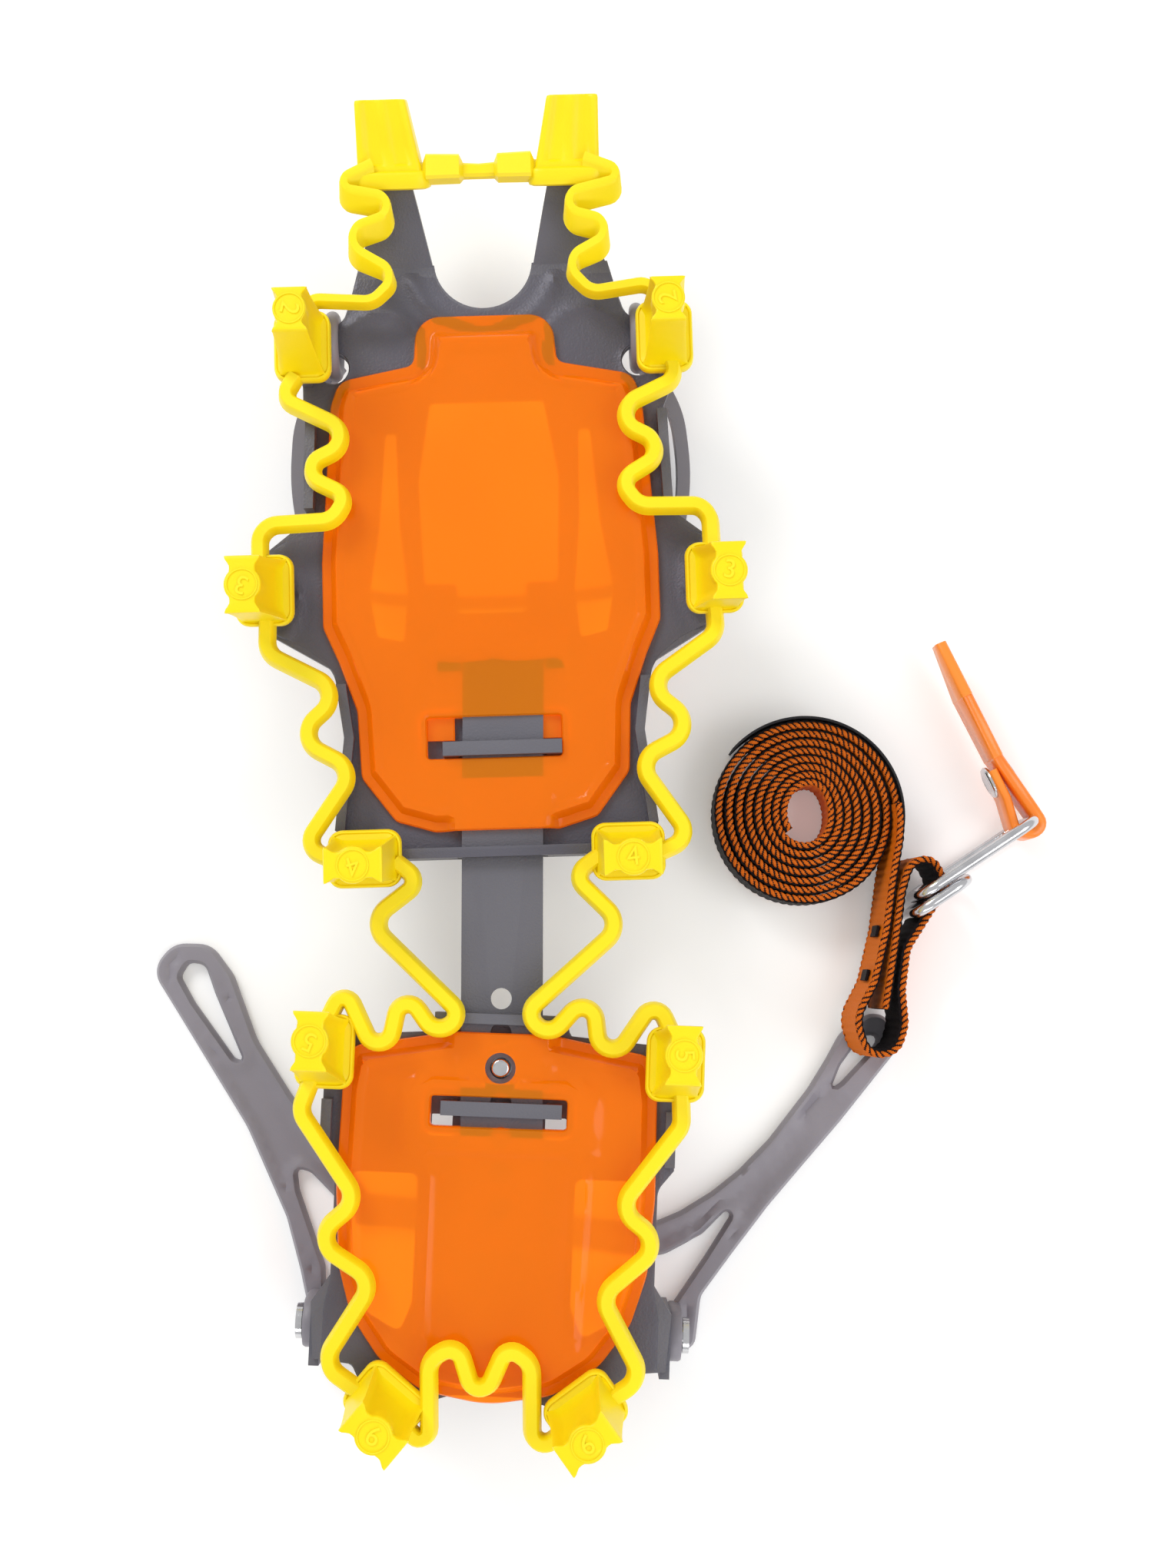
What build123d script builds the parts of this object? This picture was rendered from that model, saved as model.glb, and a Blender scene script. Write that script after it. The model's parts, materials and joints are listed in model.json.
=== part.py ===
"""Twelve-point crampon in two halves on a linking bar, lying points up, with rubber point guards.

Millimetres. +Z is up and is the way the points stand; +Y runs from heel to toe; z = 0 is the surface
that the crampon lies on. Each half is laid out in its own flat frame, where u runs across, v runs
towards the toe and z = 0 is the boot side of the sheet, and is then turned and moved into place.
"""

import os
from math import atan2, cos, degrees, hypot, radians, sin, tan

from build123d import *

# ---- Driving dimensions ----
SHEET = 2.6                  # steel sheet of both frames
BEND = 1.2                   # rounding of sheet corners
FRAME_HEIGHT = 30.0          # boot side of the sheet above the ground
FRONT_YAW = 1.7              # each half is set a little to one side, as the boot's sole is
HEEL_YAW = -2.2
FRONT_PLACE = (-1.2, 38.0)   # rear edge of the front half, on its centreline
HEEL_PLACE = (-0.2, -14.0)   # line through the first heel points
CENTRE = (25.6, 63.1)        # middle of the whole crampon with its strap, which is the origin
RUN_GAP = 0.3                # between pieces that only lie together
PIVOT_GAP = 0.08             # radial, in every pivot

BAR_WIDTH = 20.8
BAR_THICK = 3.0
BAR_FRONT = 62.4             # v of the T head in the front half
BAR_REAR = -62.0             # y of the bar's rear end
BRIDGE_V = 28.0              # strap over the bar, in the front half
HEEL_BRIDGE_V = -12.0
T_HEAD_WIDTH = 34.0
T_HEAD_LENGTH = 10.4
HOLE_PITCH = 8.75            # length holes along the bar
HOLE_RADIUS = 2.7
HOLES_BACK = 4               # holes behind the pinned one
HOLES_FORWARD = 2
PIN_V = -1.6                 # the pinned hole, in the heel half
PIN_RADIUS = 2.4

PLATE_WALL = 1.6             # anti-balling plates
PLATE_RIM = 1.8              # height of a plate's rim
DOME = 2.2                   # rise of a plate above its rim step
TOOTH_TIP = 34.0             # height of the point tips above the sheet's boot side
TOOTH_ROOT_WIDTH = 15.0
TOOTH_TIP_WIDTH = 6.0
FLANGE = 8.0                 # height of the folded edges
PRONG_LENGTH = 38.5
PRONG_CAP_START = 22.5
PRONG_SLOPE = 24.0
PRONG_BEND_V = 158.0
U_RADIUS = 13.0
U_CENTRE_V = 159.0
HOOK_U = 40.3                # toe cradle hooks
HOOK_V = 137.7
HOOK_Z = SHEET / 2 - 2.3
HOOK_RADIUS = 7.4
HOOK_WIRE = 1.9
HOOK_HOLE = 4.2

CAP_WALL = 2.6
CAP_BASE = (14.7, 18.6)
CAP_NECK = (11.6, 15.6)
CAP_TOP = (9.0, 14.4)
CAP_FLANGE = 3.0
LINK_WIDTH = 4.2
LINK_HEIGHT = 4.8
LINK_RAMP = 7.0              # slope of the links that climb to the front points

POST_U = 43.0                # inner face of the heel posts
POST_V = -70.0
POST_WIDTH = 16.0
PIVOT_Z = -17.0
RIVET_RADIUS = 2.5
RIVET_HEAD = 4.6
ARM_THICK = 3.4
EYE_RADIUS = 7.0

WEB_WIDTH = 15.0
WEB_THICK = 2.4
COIL_PLACE = (81.5, 52.7)
COIL_RADIUS = 25.0
COIL_HOLE = 5.5
RING_WIRE = 1.5
RING_HEIGHT = 24.0
TAB_THICK = 4.0
TAB_LENGTH = 58.0
TAB_TURN = 117.0

# ---- Heights that follow from them, measured from the boot side of the sheet ----
GROUND = -FRAME_HEIGHT
BAR_BOTTOM = SHEET + RUN_GAP
BAR_TOP = BAR_BOTTOM + BAR_THICK
BRIDGE_BOTTOM = BAR_TOP + RUN_GAP
BRIDGE_TOP = BRIDGE_BOTTOM + SHEET
PLATE_BOTTOM = SHEET + RUN_GAP
PLATE_SHOULDER = PLATE_BOTTOM + PLATE_RIM
PLATE_TOP = max(PLATE_SHOULDER + DOME, BAR_TOP + RUN_GAP + PLATE_WALL)
LINK_BOTTOM = PLATE_TOP + DOME
CAP_BOTTOM = LINK_BOTTOM
CAP_TIP = TOOTH_TIP + CAP_WALL + RUN_GAP
CROSS_FLANGE = LINK_BOTTOM - 2 * RUN_GAP

FRONT = Location((FRONT_PLACE[0], FRONT_PLACE[1], 0), (0, 0, FRONT_YAW))
HEEL = Location((HEEL_PLACE[0], HEEL_PLACE[1], 0), (0, 0, HEEL_YAW))
STAND = Location((-CENTRE[0], -CENTRE[1], FRAME_HEIGHT))

# Points of each half: place (u, v), turn of the long side from v, and lean of the tip (u, v).
FRONT_POINTS = [
    (47.0, 133.0, 0, (0.0, 2.4)),
    (57.0, 71.0, 0, (2.4, -4.0)),
    (33.2, 1.3, 90, (0.6, -3.8)),
]
HEEL_POINTS = [
    (43.7, 0.0, 0, (1.0, 4.0)),
    (24.6, -83.4, 52, (0.5, -3.2)),
]


def mirrored(half):
    """Closes a right-hand outline, listed from the rear to the front, with its left-hand copy."""
    return half + [(-u, v) for u, v in reversed(half)]


def face_of(points, radius=0.0):
    """A flat face from corner points, with every corner rounded."""
    face = make_face(Polyline(*points, close=True))
    return fillet(face.vertices(), radius) if radius else face


def slab(points, bottom, thickness, radius=0.0):
    return extrude(Pos(0, 0, bottom) * face_of(points, radius), amount=thickness)


def block(u0, u1, v0, v1, z0, z1):
    middle = Pos((u0 + u1) / 2, (v0 + v1) / 2, (z0 + z1) / 2)
    return middle * Box(abs(u1 - u0), abs(v1 - v0), abs(z1 - z0))


def rod(radius, length, start, direction):
    """A round bar from its start point along a direction."""
    return Plane(start, z_dir=direction) * Cylinder(
        radius, length, align=(Align.CENTER, Align.CENTER, Align.MIN)
    )


def taper(base, top, z0, z1, lean=(0.0, 0.0), corner=0.0):
    """A straight-sided taper between two rectangles, the upper one moved aside by the lean."""
    faces = []
    for size, z, shift in ((base, z0, (0.0, 0.0)), (top, z1, lean)):
        shape = RectangleRounded(size[0], size[1], corner) if corner else Rectangle(*size)
        faces.append(Pos(shift[0], shift[1], z) * shape)
    return loft(faces)


def strip(points, width, bottom, height):
    """A band standing on edge along a flat route whose corners are as round as its runs allow."""
    radii = []
    for before, corner, after in zip(points, points[1:], points[2:]):
        run_in = hypot(corner[0] - before[0], corner[1] - before[1])
        run_out = hypot(after[0] - corner[0], after[1] - corner[1])
        turn = degrees(
            atan2(after[1] - corner[1], after[0] - corner[0])
            - atan2(corner[1] - before[1], corner[0] - before[0])
        )
        turn = abs((turn + 180) % 360 - 180)
        room = min(run_in, run_out) / tan(radians(turn / 2))
        radii.append(min(max(0.45 * room, 0.55 * width), 0.48 * room))
    route = FilletPolyline(*points, radius=radii)
    start = Plane(route @ 0, z_dir=route % 0, x_dir=(0, 0, 1))
    return Pos(0, 0, bottom + height / 2) * sweep(start * Rectangle(height, width), path=route)


def both(shape):
    """A right-hand shape and its left-hand copy."""
    return [shape, mirror(shape, about=Plane.YZ)]


def fused(pieces):
    whole = pieces[0]
    for piece in pieces[1:]:
        whole = whole + piece
    return whole


# ---- Points and their caps ----
def bar_u(place, yaw, v):
    """Where the linking bar's centreline runs in a half, as its u at a v."""
    return (v * sin(radians(yaw)) - place[0]) / cos(radians(yaw))


def at_point(spec, side):
    u, v, turn, _ = spec
    return Location((side * u, v, 0), (0, 0, -side * turn))


def leaning(spec, side, height):
    """Lean at a height, in the point's own turned axes."""
    lean_u, lean_v = spec[3]
    share = (height - SHEET) / (TOOTH_TIP - SHEET)
    turn = radians(side * spec[2])
    u, v = side * lean_u * share, lean_v * share
    return (u * cos(turn) - v * sin(turn), u * sin(turn) + v * cos(turn))


def tooth(spec, side):
    size = (SHEET, TOOTH_ROOT_WIDTH)
    tip = (SHEET, TOOTH_TIP_WIDTH)
    lean = leaning(spec, side, TOOTH_TIP)
    return at_point(spec, side) * taper(size, tip, SHEET / 2, TOOTH_TIP, lean)


def cap_body(spec, side):
    """Outside of a guard cap: a flange and a tapering body."""
    low = leaning(spec, side, CAP_BOTTOM)
    high = leaning(spec, side, CAP_TIP)
    neck = CAP_BOTTOM + CAP_FLANGE
    flange = Pos(low[0], low[1], CAP_BOTTOM) * extrude(RectangleRounded(*CAP_BASE, 3.0), CAP_FLANGE)
    lean = (high[0] - low[0], high[1] - low[1])
    body = Pos(low[0], low[1], 0) * taper(CAP_NECK, CAP_TOP, neck - 0.5, CAP_TIP, lean, 1.5)
    return at_point(spec, side) * (flange + body)


def cap_socket(spec, side):
    """The hollow of a cap, a running gap larger than its point."""
    gap = 2 * RUN_GAP
    size = (SHEET + gap, TOOTH_ROOT_WIDTH + gap)
    tip = (SHEET + gap, TOOTH_TIP_WIDTH + gap)
    lean = leaning(spec, side, TOOTH_TIP)
    hollow = taper(size, tip, SHEET / 2, TOOTH_TIP + RUN_GAP, lean)
    return at_point(spec, side) * hollow


def cap_room(spec, side):
    """Upright space round a cap's flange, for what stops just short of it."""
    low = leaning(spec, side, CAP_BOTTOM)
    grown = RectangleRounded(CAP_BASE[0] + RUN_GAP, CAP_BASE[1] + RUN_GAP, 3.0)
    return at_point(spec, side) * (Pos(low[0], low[1], 0) * extrude(grown, TOOTH_TIP))


def prong_plane():
    """Sloping plane of the front points."""
    return Location((0, PRONG_BEND_V, 0), (PRONG_SLOPE, 0, 0))


def prong(side):
    outline = [
        (side * U_RADIUS, -1.0),
        (side * 33.0, -1.0),
        (side * 28.2, 16.0),
        (side * 26.6, PRONG_LENGTH),
        (side * 21.6, PRONG_LENGTH),
        (side * 16.6, 16.0),
    ]
    return prong_plane() * slab(outline, 0, SHEET)


def across(u, s, width, height, corner=0.0):
    """A cross-section of a front point or its cap, at a distance s along the slope."""
    shape = RectangleRounded(width, height, corner) if corner else Rectangle(width, height)
    return Location((u, s, SHEET / 2), (-90, 0, 0)) * shape


def prong_cap(side):
    """Outside of a front point's cap, lying along the slope."""
    start = PRONG_CAP_START
    low_u, high_u = side * 22.5, side * 24.1
    flange = extrude(across(low_u, start - 1.0, 18.6, 13.6, 3.0), CAP_FLANGE, dir=(0, 1, 0))
    low = across(low_u, start + 1.0, 15.6, 11.0, 1.5)
    high = across(high_u, PRONG_LENGTH + CAP_WALL, 12.6, 8.6, 1.5)
    return prong_plane() * (flange + loft([low, high]))


def prong_socket(side):
    gap = 2 * RUN_GAP
    low = across(side * 22.4, 16.0, 12.0 + gap, SHEET + gap)
    high = across(side * 24.1, PRONG_LENGTH + RUN_GAP, 6.4, SHEET + gap)
    return prong_plane() * loft([low, high])


# ---- Front half ----
def front_outline():
    return mirrored([
        (40.5, 0.0),
        (41.6, 8.0),
        (38.8, 32.0),
        (41.5, 50.0),
        (58.3, 60.0),
        (58.3, 82.0),
        (48.0, 90.0),
        (46.6, 118.0),
        (48.3, 122.0),
        (48.3, 141.5),
        (37.2, 141.5),
        (35.0, 150.0),
        (33.0, PRONG_BEND_V),
        (U_RADIUS + 0.1, PRONG_BEND_V),
        (U_RADIUS + 0.1, 145.9),
    ])


def front_sheet():
    """The flat sheet with its U-shaped throat, hook holes and window."""
    outline = front_outline()
    sheet = slab(outline, 0, SHEET)
    web = block(-U_RADIUS - 1, U_RADIUS + 1, 144.0, PRONG_BEND_V, 0, SHEET)
    throat = Pos(0, U_CENTRE_V, SHEET / 2) * Cylinder(U_RADIUS, 3 * SHEET)
    sheet = sheet + web - throat
    for side in (-1, 1):
        hole_v = HOOK_V - HOOK_RADIUS + 0.4
        sheet = sheet - Pos(side * HOOK_U, hole_v, SHEET / 2) * Cylinder(HOOK_HOLE, 3 * SHEET)
    window = [(9.0, 64.0), (9.0, 72.0), (17.5, 72.0), (18.5, 100.0), (15.0, 121.0)]
    sheet = sheet - slab(mirrored(window), -1, SHEET + 2, 1.5)
    slot = [(23.0, 57.0), (30.0, 58.5), (32.0, 70.0), (29.0, 88.0), (27.0, 113.0), (24.0, 113.0), (23.5, 88.0),
            (21.8, 70.0)]
    for hole in both(slab(slot, -1, SHEET + 2, 1.0)):
        sheet = sheet - hole
    return sheet


def bridge(v, bar_at):
    """A strap of the sheet punched up over the linking bar."""
    inner = BAR_WIDTH / 2 + 3 * RUN_GAP
    outer = inner + 4.0
    strap = block(bar_at - outer, bar_at + outer, v - 1.8, v + 1.8, 0, BRIDGE_TOP)
    tunnel = block(bar_at - inner, bar_at + inner, v - 3, v + 3, SHEET, BRIDGE_BOTTOM)
    return strap - tunnel


def cross_flange(half_width, v0, v1, bar_at):
    """A folded cross edge with the slot that the linking bar runs through."""
    slot = BAR_WIDTH / 2 + 4 * RUN_GAP
    wall = block(-half_width, half_width, v0, v1, 0, CROSS_FLANGE)
    return wall - block(bar_at - slot, bar_at + slot, v0 - 1, v1 + 1, SHEET, BRIDGE_BOTTOM)


def head_stops():
    """Two lugs punched up behind the wings of the bar's T head."""
    v = BAR_FRONT - T_HEAD_LENGTH - RUN_GAP
    bar_at = bar_u(FRONT_PLACE, FRONT_YAW, v)
    near, far = BAR_WIDTH / 2 + 2 * RUN_GAP, T_HEAD_WIDTH / 2
    right = block(bar_at + near, bar_at + far, v - SHEET - 0.6, v - 0.6, 0, BAR_TOP)
    left = block(bar_at - far, bar_at - near, v - SHEET - 0.6, v - 0.6, 0, BAR_TOP)
    return [right, left]


def front_frame():
    sheet = front_sheet()
    bar_at = [bar_u(FRONT_PLACE, FRONT_YAW, v) for v in (SHEET / 2, BRIDGE_V)]
    pieces = [sheet, cross_flange(40.5, 0, SHEET, bar_at[0]), bridge(BRIDGE_V, bar_at[1])]
    pieces += head_stops()
    edge = [(45.6, 92.0), (44.6, 116.0), (47.2, 116.0), (48.0, 92.0)]
    skirt = [(41.6, 8.0), (38.8, 32.0), (40.7, 46.0), (38.2, 46.0), (36.3, 32.0), (39.1, 8.0)]
    post_face = block(44.0, 44.0 + SHEET, 97.0, 113.0, GROUND, SHEET / 2)
    pieces += both(slab(edge, 0, FLANGE))
    pieces += both(slab(skirt, 0, FLANGE - 2.0))
    pieces += both(post_face)
    for side in (-1, 1):
        pieces.append(prong(side))
        pieces += [tooth(spec, side) for spec in FRONT_POINTS]
    return FRONT * fused(pieces)


def linking_bar():
    """Flat bar with a T head in the front half and length holes towards the heel."""
    head_y = FRONT_PLACE[1] + BAR_FRONT
    bar = block(-BAR_WIDTH / 2, BAR_WIDTH / 2, BAR_REAR, head_y, BAR_BOTTOM, BAR_TOP)
    head = block(
        -T_HEAD_WIDTH / 2, T_HEAD_WIDTH / 2, head_y - T_HEAD_LENGTH, head_y, BAR_BOTTOM, BAR_TOP
    )
    bar = bar + head
    bar = fillet(bar.edges().filter_by(Axis.Z), 1.5)
    for step in range(-HOLES_BACK, HOLES_FORWARD + 1):
        y = HEEL_PLACE[1] + PIN_V + step * HOLE_PITCH
        bar = bar - Pos(HEEL_PLACE[0], y, BAR_TOP) * Cylinder(HOLE_RADIUS, 4 * BAR_THICK)
    return bar


def bar_tunnel(v0, v1):
    """Room for the bar under a plate."""
    return block(-BAR_WIDTH / 2 - 2.6, BAR_WIDTH / 2 + 2.6, v0, v1, 0, BRIDGE_BOTTOM)


def shell(outline, inset, windows):
    """A moulded plate: a rim on the sheet and a raised middle, open underneath."""
    rim = slab(outline, PLATE_BOTTOM, PLATE_RIM, 2.0)
    step = offset(face_of(outline, 2.0), -inset)
    raised = extrude(Pos(0, 0, PLATE_BOTTOM) * step, amount=PLATE_TOP - PLATE_BOTTOM)
    room = offset(face_of(outline, 2.0), -inset - PLATE_WALL)
    under = extrude(Pos(0, 0, PLATE_BOTTOM - 1) * room, amount=PLATE_TOP - PLATE_WALL - PLATE_BOTTOM + 1)
    body = rim + raised - under
    for window in windows:
        body = body - window
    return body


def front_plate():
    outline = mirrored([
        (16.0, 7.0),
        (26.0, 10.0),
        (34.6, 21.5),
        (35.4, 39.0),
        (40.0, 52.0),
        (43.9, 61.0),
        (43.9, 78.0),
        (40.8, 121.5),
        (34.6, 126.4),
        (21.0, 130.7),
        (17.6, 137.0),
        (12.5, 143.0),
    ])
    window = block(-17.6, 17.6, 25.6, 36.4, 0, 40)
    return FRONT * shell(outline, 4.0, [window, bar_tunnel(0, 16)])


def toe_cradle():
    """Moulded toe bail, folded back under the front half and hooked through the sheet."""
    route = [(HOOK_U, HOOK_V), (51.0, 124.0), (53.0, 104.0), (50.0, 86.0), (36.0, 74.0), (0.0, 71.0)]
    route = route + [(-u, v) for u, v in reversed(route[:-1])]
    height = 9.0
    drop = degrees(atan2(FRAME_HEIGHT - 0.2 - 18.5, HOOK_V - 69.0))
    band = Location((0, HOOK_V, -18.5), (drop, 0, 0)) * Pos(0, -HOOK_V, 0) * strip(route, 3.4, 0, height)
    pieces = [band]
    for side in (-1, 1):
        hook = Location((side * HOOK_U, HOOK_V, HOOK_Z), (0, 90, 0)) * Torus(HOOK_RADIUS, HOOK_WIRE)
        pieces.append(hook)
    return FRONT * fused(pieces)


# ---- Heel half ----
def heel_outline():
    return mirrored([
        (9.0, -83.6),
        (15.0, -85.6),
        (22.0, -90.5),
        (31.5, -83.0),
        (34.5, -77.0),
        (44.5, -76.0),
        (45.6, -62.0),
        (41.0, -55.0),
        (41.0, -31.0),
        (45.0, -26.0),
        (45.0, 5.0),
        (17.0, 7.0),
        (17.0, 12.0),
    ])


def heel_frame():
    sheet = slab(heel_outline(), 0, SHEET)
    window = [(20.0, -61.0), (23.0, -69.0), (31.5, -64.5), (36.3, -50.0), (36.8, -29.0), (20.0, -29.0)]
    for hole in both(slab(window, -1, SHEET + 2, 2.0)):
        sheet = sheet - hole
    for hole in both(block(11.8, 17.2, -17.4, -13.9, -1, SHEET + 1)):
        sheet = sheet - hole
    front_v = 12.0
    bar_at = [bar_u(HEEL_PLACE, HEEL_YAW, v) for v in (front_v, HEEL_BRIDGE_V)]
    pin_hole = Pos(0, PIN_V, SHEET / 2) * Cylinder(PIN_RADIUS + RUN_GAP, 3 * SHEET)
    front = cross_flange(17.0, front_v - SHEET, front_v, bar_at[0])
    pieces = [sheet - pin_hole, front, bridge(HEEL_BRIDGE_V, bar_at[1])]
    edge = [(45.0, -25.0), (45.0, -11.0), (45.0 - SHEET, -11.0), (45.0 - SHEET, -25.0)]
    pieces += both(slab(edge, 0, FLANGE - 2))
    post = block(POST_U, POST_U + SHEET, POST_V - POST_WIDTH / 2, POST_V + POST_WIDTH / 2, GROUND, SHEET / 2)
    post = fillet(post.edges().filter_by(Axis.X).group_by(Axis.Z)[0], 3.0)
    bore = rod(RIVET_RADIUS + PIVOT_GAP, 4 * SHEET, (POST_U - SHEET, POST_V, PIVOT_Z), (1, 0, 0))
    pieces += both(post - bore)
    for side in (-1, 1):
        pieces += [tooth(spec, side) for spec in HEEL_POINTS]
    return HEEL * fused(pieces)


def heel_plate():
    outline = mirrored([
        (7.0, -85.3),
        (16.5, -82.6),
        (27.5, -75.2),
        (35.2, -64.6),
        (39.0, -52.0),
        (40.4, -33.0),
        (40.0, -8.0),
        (38.2, 3.4),
    ])
    slot = block(-17.4, 17.4, -16.8, -8.8, 0, 40)
    pin_hole = Pos(0, PIN_V, 10) * Cylinder(3.9, 30)
    return HEEL * shell(outline, 3.4, [slot, pin_hole, bar_tunnel(-4, 8)])


def latch_pin():
    """Sprung pin that holds the heel half at one hole of the bar."""
    pin = rod(PIN_RADIUS, BAR_TOP + 1.2 + 3.4, (0, PIN_V, -3.4), (0, 0, 1))
    return HEEL * fillet(pin.edges().group_by(Axis.Z)[-1], 0.8)


def latch_lever():
    """Thumb lever on the boot side that carries the pin."""
    lever = block(-9.0, 9.0, -26.0, 5.0, -3.0, -1.4)
    lever = fillet(lever.edges().filter_by(Axis.Z), 3.0)
    bore = Pos(0, PIN_V, -2) * Cylinder(PIN_RADIUS, 10)
    return HEEL * (lever - bore)


def heel_rivet(side):
    """Rivet from the inside of a post through the cradle's eye."""
    start = POST_U - 1.6
    length = SHEET + ARM_THICK + 2 * RUN_GAP
    inner = rod(RIVET_HEAD, 1.4, (start, POST_V, PIVOT_Z), (1, 0, 0))
    shank = rod(RIVET_RADIUS, length + 1.6, (start, POST_V, PIVOT_Z), (1, 0, 0))
    outer = rod(RIVET_HEAD, 1.6, (POST_U + length, POST_V, PIVOT_Z), (1, 0, 0))
    rivet = inner + shank + outer
    return HEEL * (rivet if side > 0 else mirror(rivet, about=Plane.YZ))


def cradle_eye(side):
    """Upright end of a cradle arm, turning on its rivet."""
    start = POST_U + SHEET + RUN_GAP
    eye = rod(EYE_RADIUS, ARM_THICK, (start, POST_V, PIVOT_Z), (1, 0, 0))
    foot = block(start, start + ARM_THICK, POST_V - EYE_RADIUS, POST_V + EYE_RADIUS, GROUND, PIVOT_Z)
    bore = rod(RIVET_RADIUS + PIVOT_GAP, 3 * ARM_THICK, (start - 2, POST_V, PIVOT_Z), (1, 0, 0))
    eye = eye + foot - bore
    return HEEL * (eye if side > 0 else mirror(eye, about=Plane.YZ))


def heel_cradle():
    """Two arms for the ankle strap and the band behind the boot's heel, in one moulding."""
    left_leg = [
        (-93.0, 8.0), (-84.0, 12.5), (-71.9, 6.7), (-65.8, -8.7), (-58.0, -28.0), (-52.5, -55.0),
        (-49.9, -72.0), (-49.3, -88.0), (-52.7, -88.0), (-55.0, -69.0), (-58.8, -55.3), (-69.6, -32.1),
        (-88.0, -3.2),
    ]
    left_brace = [
        (-64.0, -22.0), (-55.7, -26.4), (-44.6, -43.2), (-38.0, -50.0), (-38.0, -58.5), (-46.0, -52.0),
        (-56.0, -43.0), (-63.0, -38.0),
    ]
    left_slot = [(-86.0, 5.5), (-78.5, 7.5), (-69.7, -12.0), (-72.5, -13.0)]
    right_leg = [
        (100.8, -1.0), (106.5, -5.5), (79.5, -41.5), (59.5, -67.8), (50.5, -79.0), (48.8, -91.0),
        (45.4, -91.0), (45.4, -79.0), (53.0, -66.0), (65.0, -48.0), (72.0, -36.0), (86.5, -12.4),
        (93.0, -3.0),
    ]
    right_brace = [
        (72.0, -33.5), (54.4, -48.7), (41.0, -56.9), (34.0, -58.5), (34.0, -67.0), (42.0, -66.4),
        (58.4, -54.5), (68.0, -46.0),
    ]
    right_slot = [(100.0, -7.0), (93.0, -10.5), (84.0, -25.0), (86.0, -27.0)]
    band = [(-40.0, -50.0), (0.0, -54.0), (36.0, -58.5), (36.0, -67.0), (0.0, -62.5), (-40.0, -58.5)]
    pieces = [
        slab(left_leg, GROUND, ARM_THICK, 0.8),
        slab(left_brace, GROUND, ARM_THICK),
        slab(right_leg, GROUND, ARM_THICK, 0.8),
        slab(right_brace, GROUND, ARM_THICK),
        slab(band, GROUND, ARM_THICK),
        cradle_eye(-1),
        cradle_eye(1),
    ]
    cradle = fused(pieces)
    cradle = cradle - slab(left_slot, GROUND - 1, ARM_THICK + 2)
    return cradle - slab(right_slot, GROUND - 1, ARM_THICK + 2)


# ---- Point guard ----
def front_links():
    height = LINK_BOTTOM
    low = [
        ([(-49.0, 126.0), (-52.0, 120.5), (-33.0, 109.4), (-48.6, 101.0), (-37.0, 93.5), (-41.0, 87.8),
          (-56.0, 87.0), (-59.0, 78.0)]),
        ([(47.5, 130.0), (49.5, 122.5), (31.5, 113.6), (47.0, 104.2), (33.5, 96.5), (40.5, 87.6),
          (55.0, 88.0), (57.5, 77.0)]),
        ([(-57.3, 63.0), (-57.3, 53.5), (-38.5, 43.0), (-50.5, 31.6), (-36.0, 22.9), (-48.0, 4.0),
          (-40.0, -0.5)]),
        ([(57.4, 63.0), (57.6, 55.5), (39.5, 42.6), (52.0, 31.4), (37.0, 23.2), (49.0, 3.4),
          (40.0, -0.8)]),
    ]
    links = [strip(route, LINK_WIDTH, height, LINK_HEIGHT) for route in low]
    sloping = [
        [(-27.0, 36.0), (-38.5, 31.0), (-21.0, 24.0), (-36.5, 17.0), (-22.5, 8.0), (-31.0, 2.0),
         (-46.0, 1.0), (-46.5, -9.0)],
        [(27.0, 36.5), (39.5, 30.5), (18.5, 22.5), (36.5, 15.5), (22.5, 8.0), (30.0, 1.0), (45.5, 2.5),
         (46.5, -9.0)],
    ]
    ramp = Location((0, 147.0, height), (LINK_RAMP, 0, 0))
    links += [ramp * strip(route, LINK_WIDTH, 0, LINK_HEIGHT) for route in sloping]
    links.append(block(-17.0, 17.0, 177.0, 177.0 + LINK_WIDTH, height + 2.0, height + 7.5))
    return links


def front_guard():
    """Caps of the first eight points and the springy links between them, one moulding."""
    pieces = front_links()
    for side in (-1, 1):
        pieces.append(prong_cap(side))
        pieces += [cap_body(spec, side) for spec in FRONT_POINTS]
    guard = fused(pieces)
    for side in (-1, 1):
        guard = guard - prong_socket(side)
        for spec in FRONT_POINTS:
            guard = guard - cap_socket(spec, side)
    return FRONT * guard


def heel_guard():
    """Caps of the four heel points and the links between them."""
    routes = [
        [(-46.5, -4.0), (-49.5, -14.0), (-34.5, -35.5), (-44.5, -45.4), (-29.5, -55.0), (-40.5, -75.0),
         (-31.0, -82.0)],
        [(45.5, -4.0), (46.0, -14.0), (31.5, -34.9), (41.5, -43.4), (28.0, -56.6), (38.0, -75.5),
         (30.0, -82.0)],
        [(-22.0, -88.0), (-13.5, -95.0), (-14.2, -74.0), (-8.5, -70.5), (-1.8, -85.0), (5.2, -70.5),
         (10.5, -74.0), (12.0, -95.0), (22.0, -88.0)],
    ]
    pieces = [strip(route, LINK_WIDTH, LINK_BOTTOM, LINK_HEIGHT) for route in routes]
    for side in (-1, 1):
        pieces += [cap_body(spec, side) for spec in HEEL_POINTS]
    guard = fused(pieces)
    for side in (-1, 1):
        for spec in HEEL_POINTS:
            guard = guard - cap_socket(spec, side)
    return HEEL * guard


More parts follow.
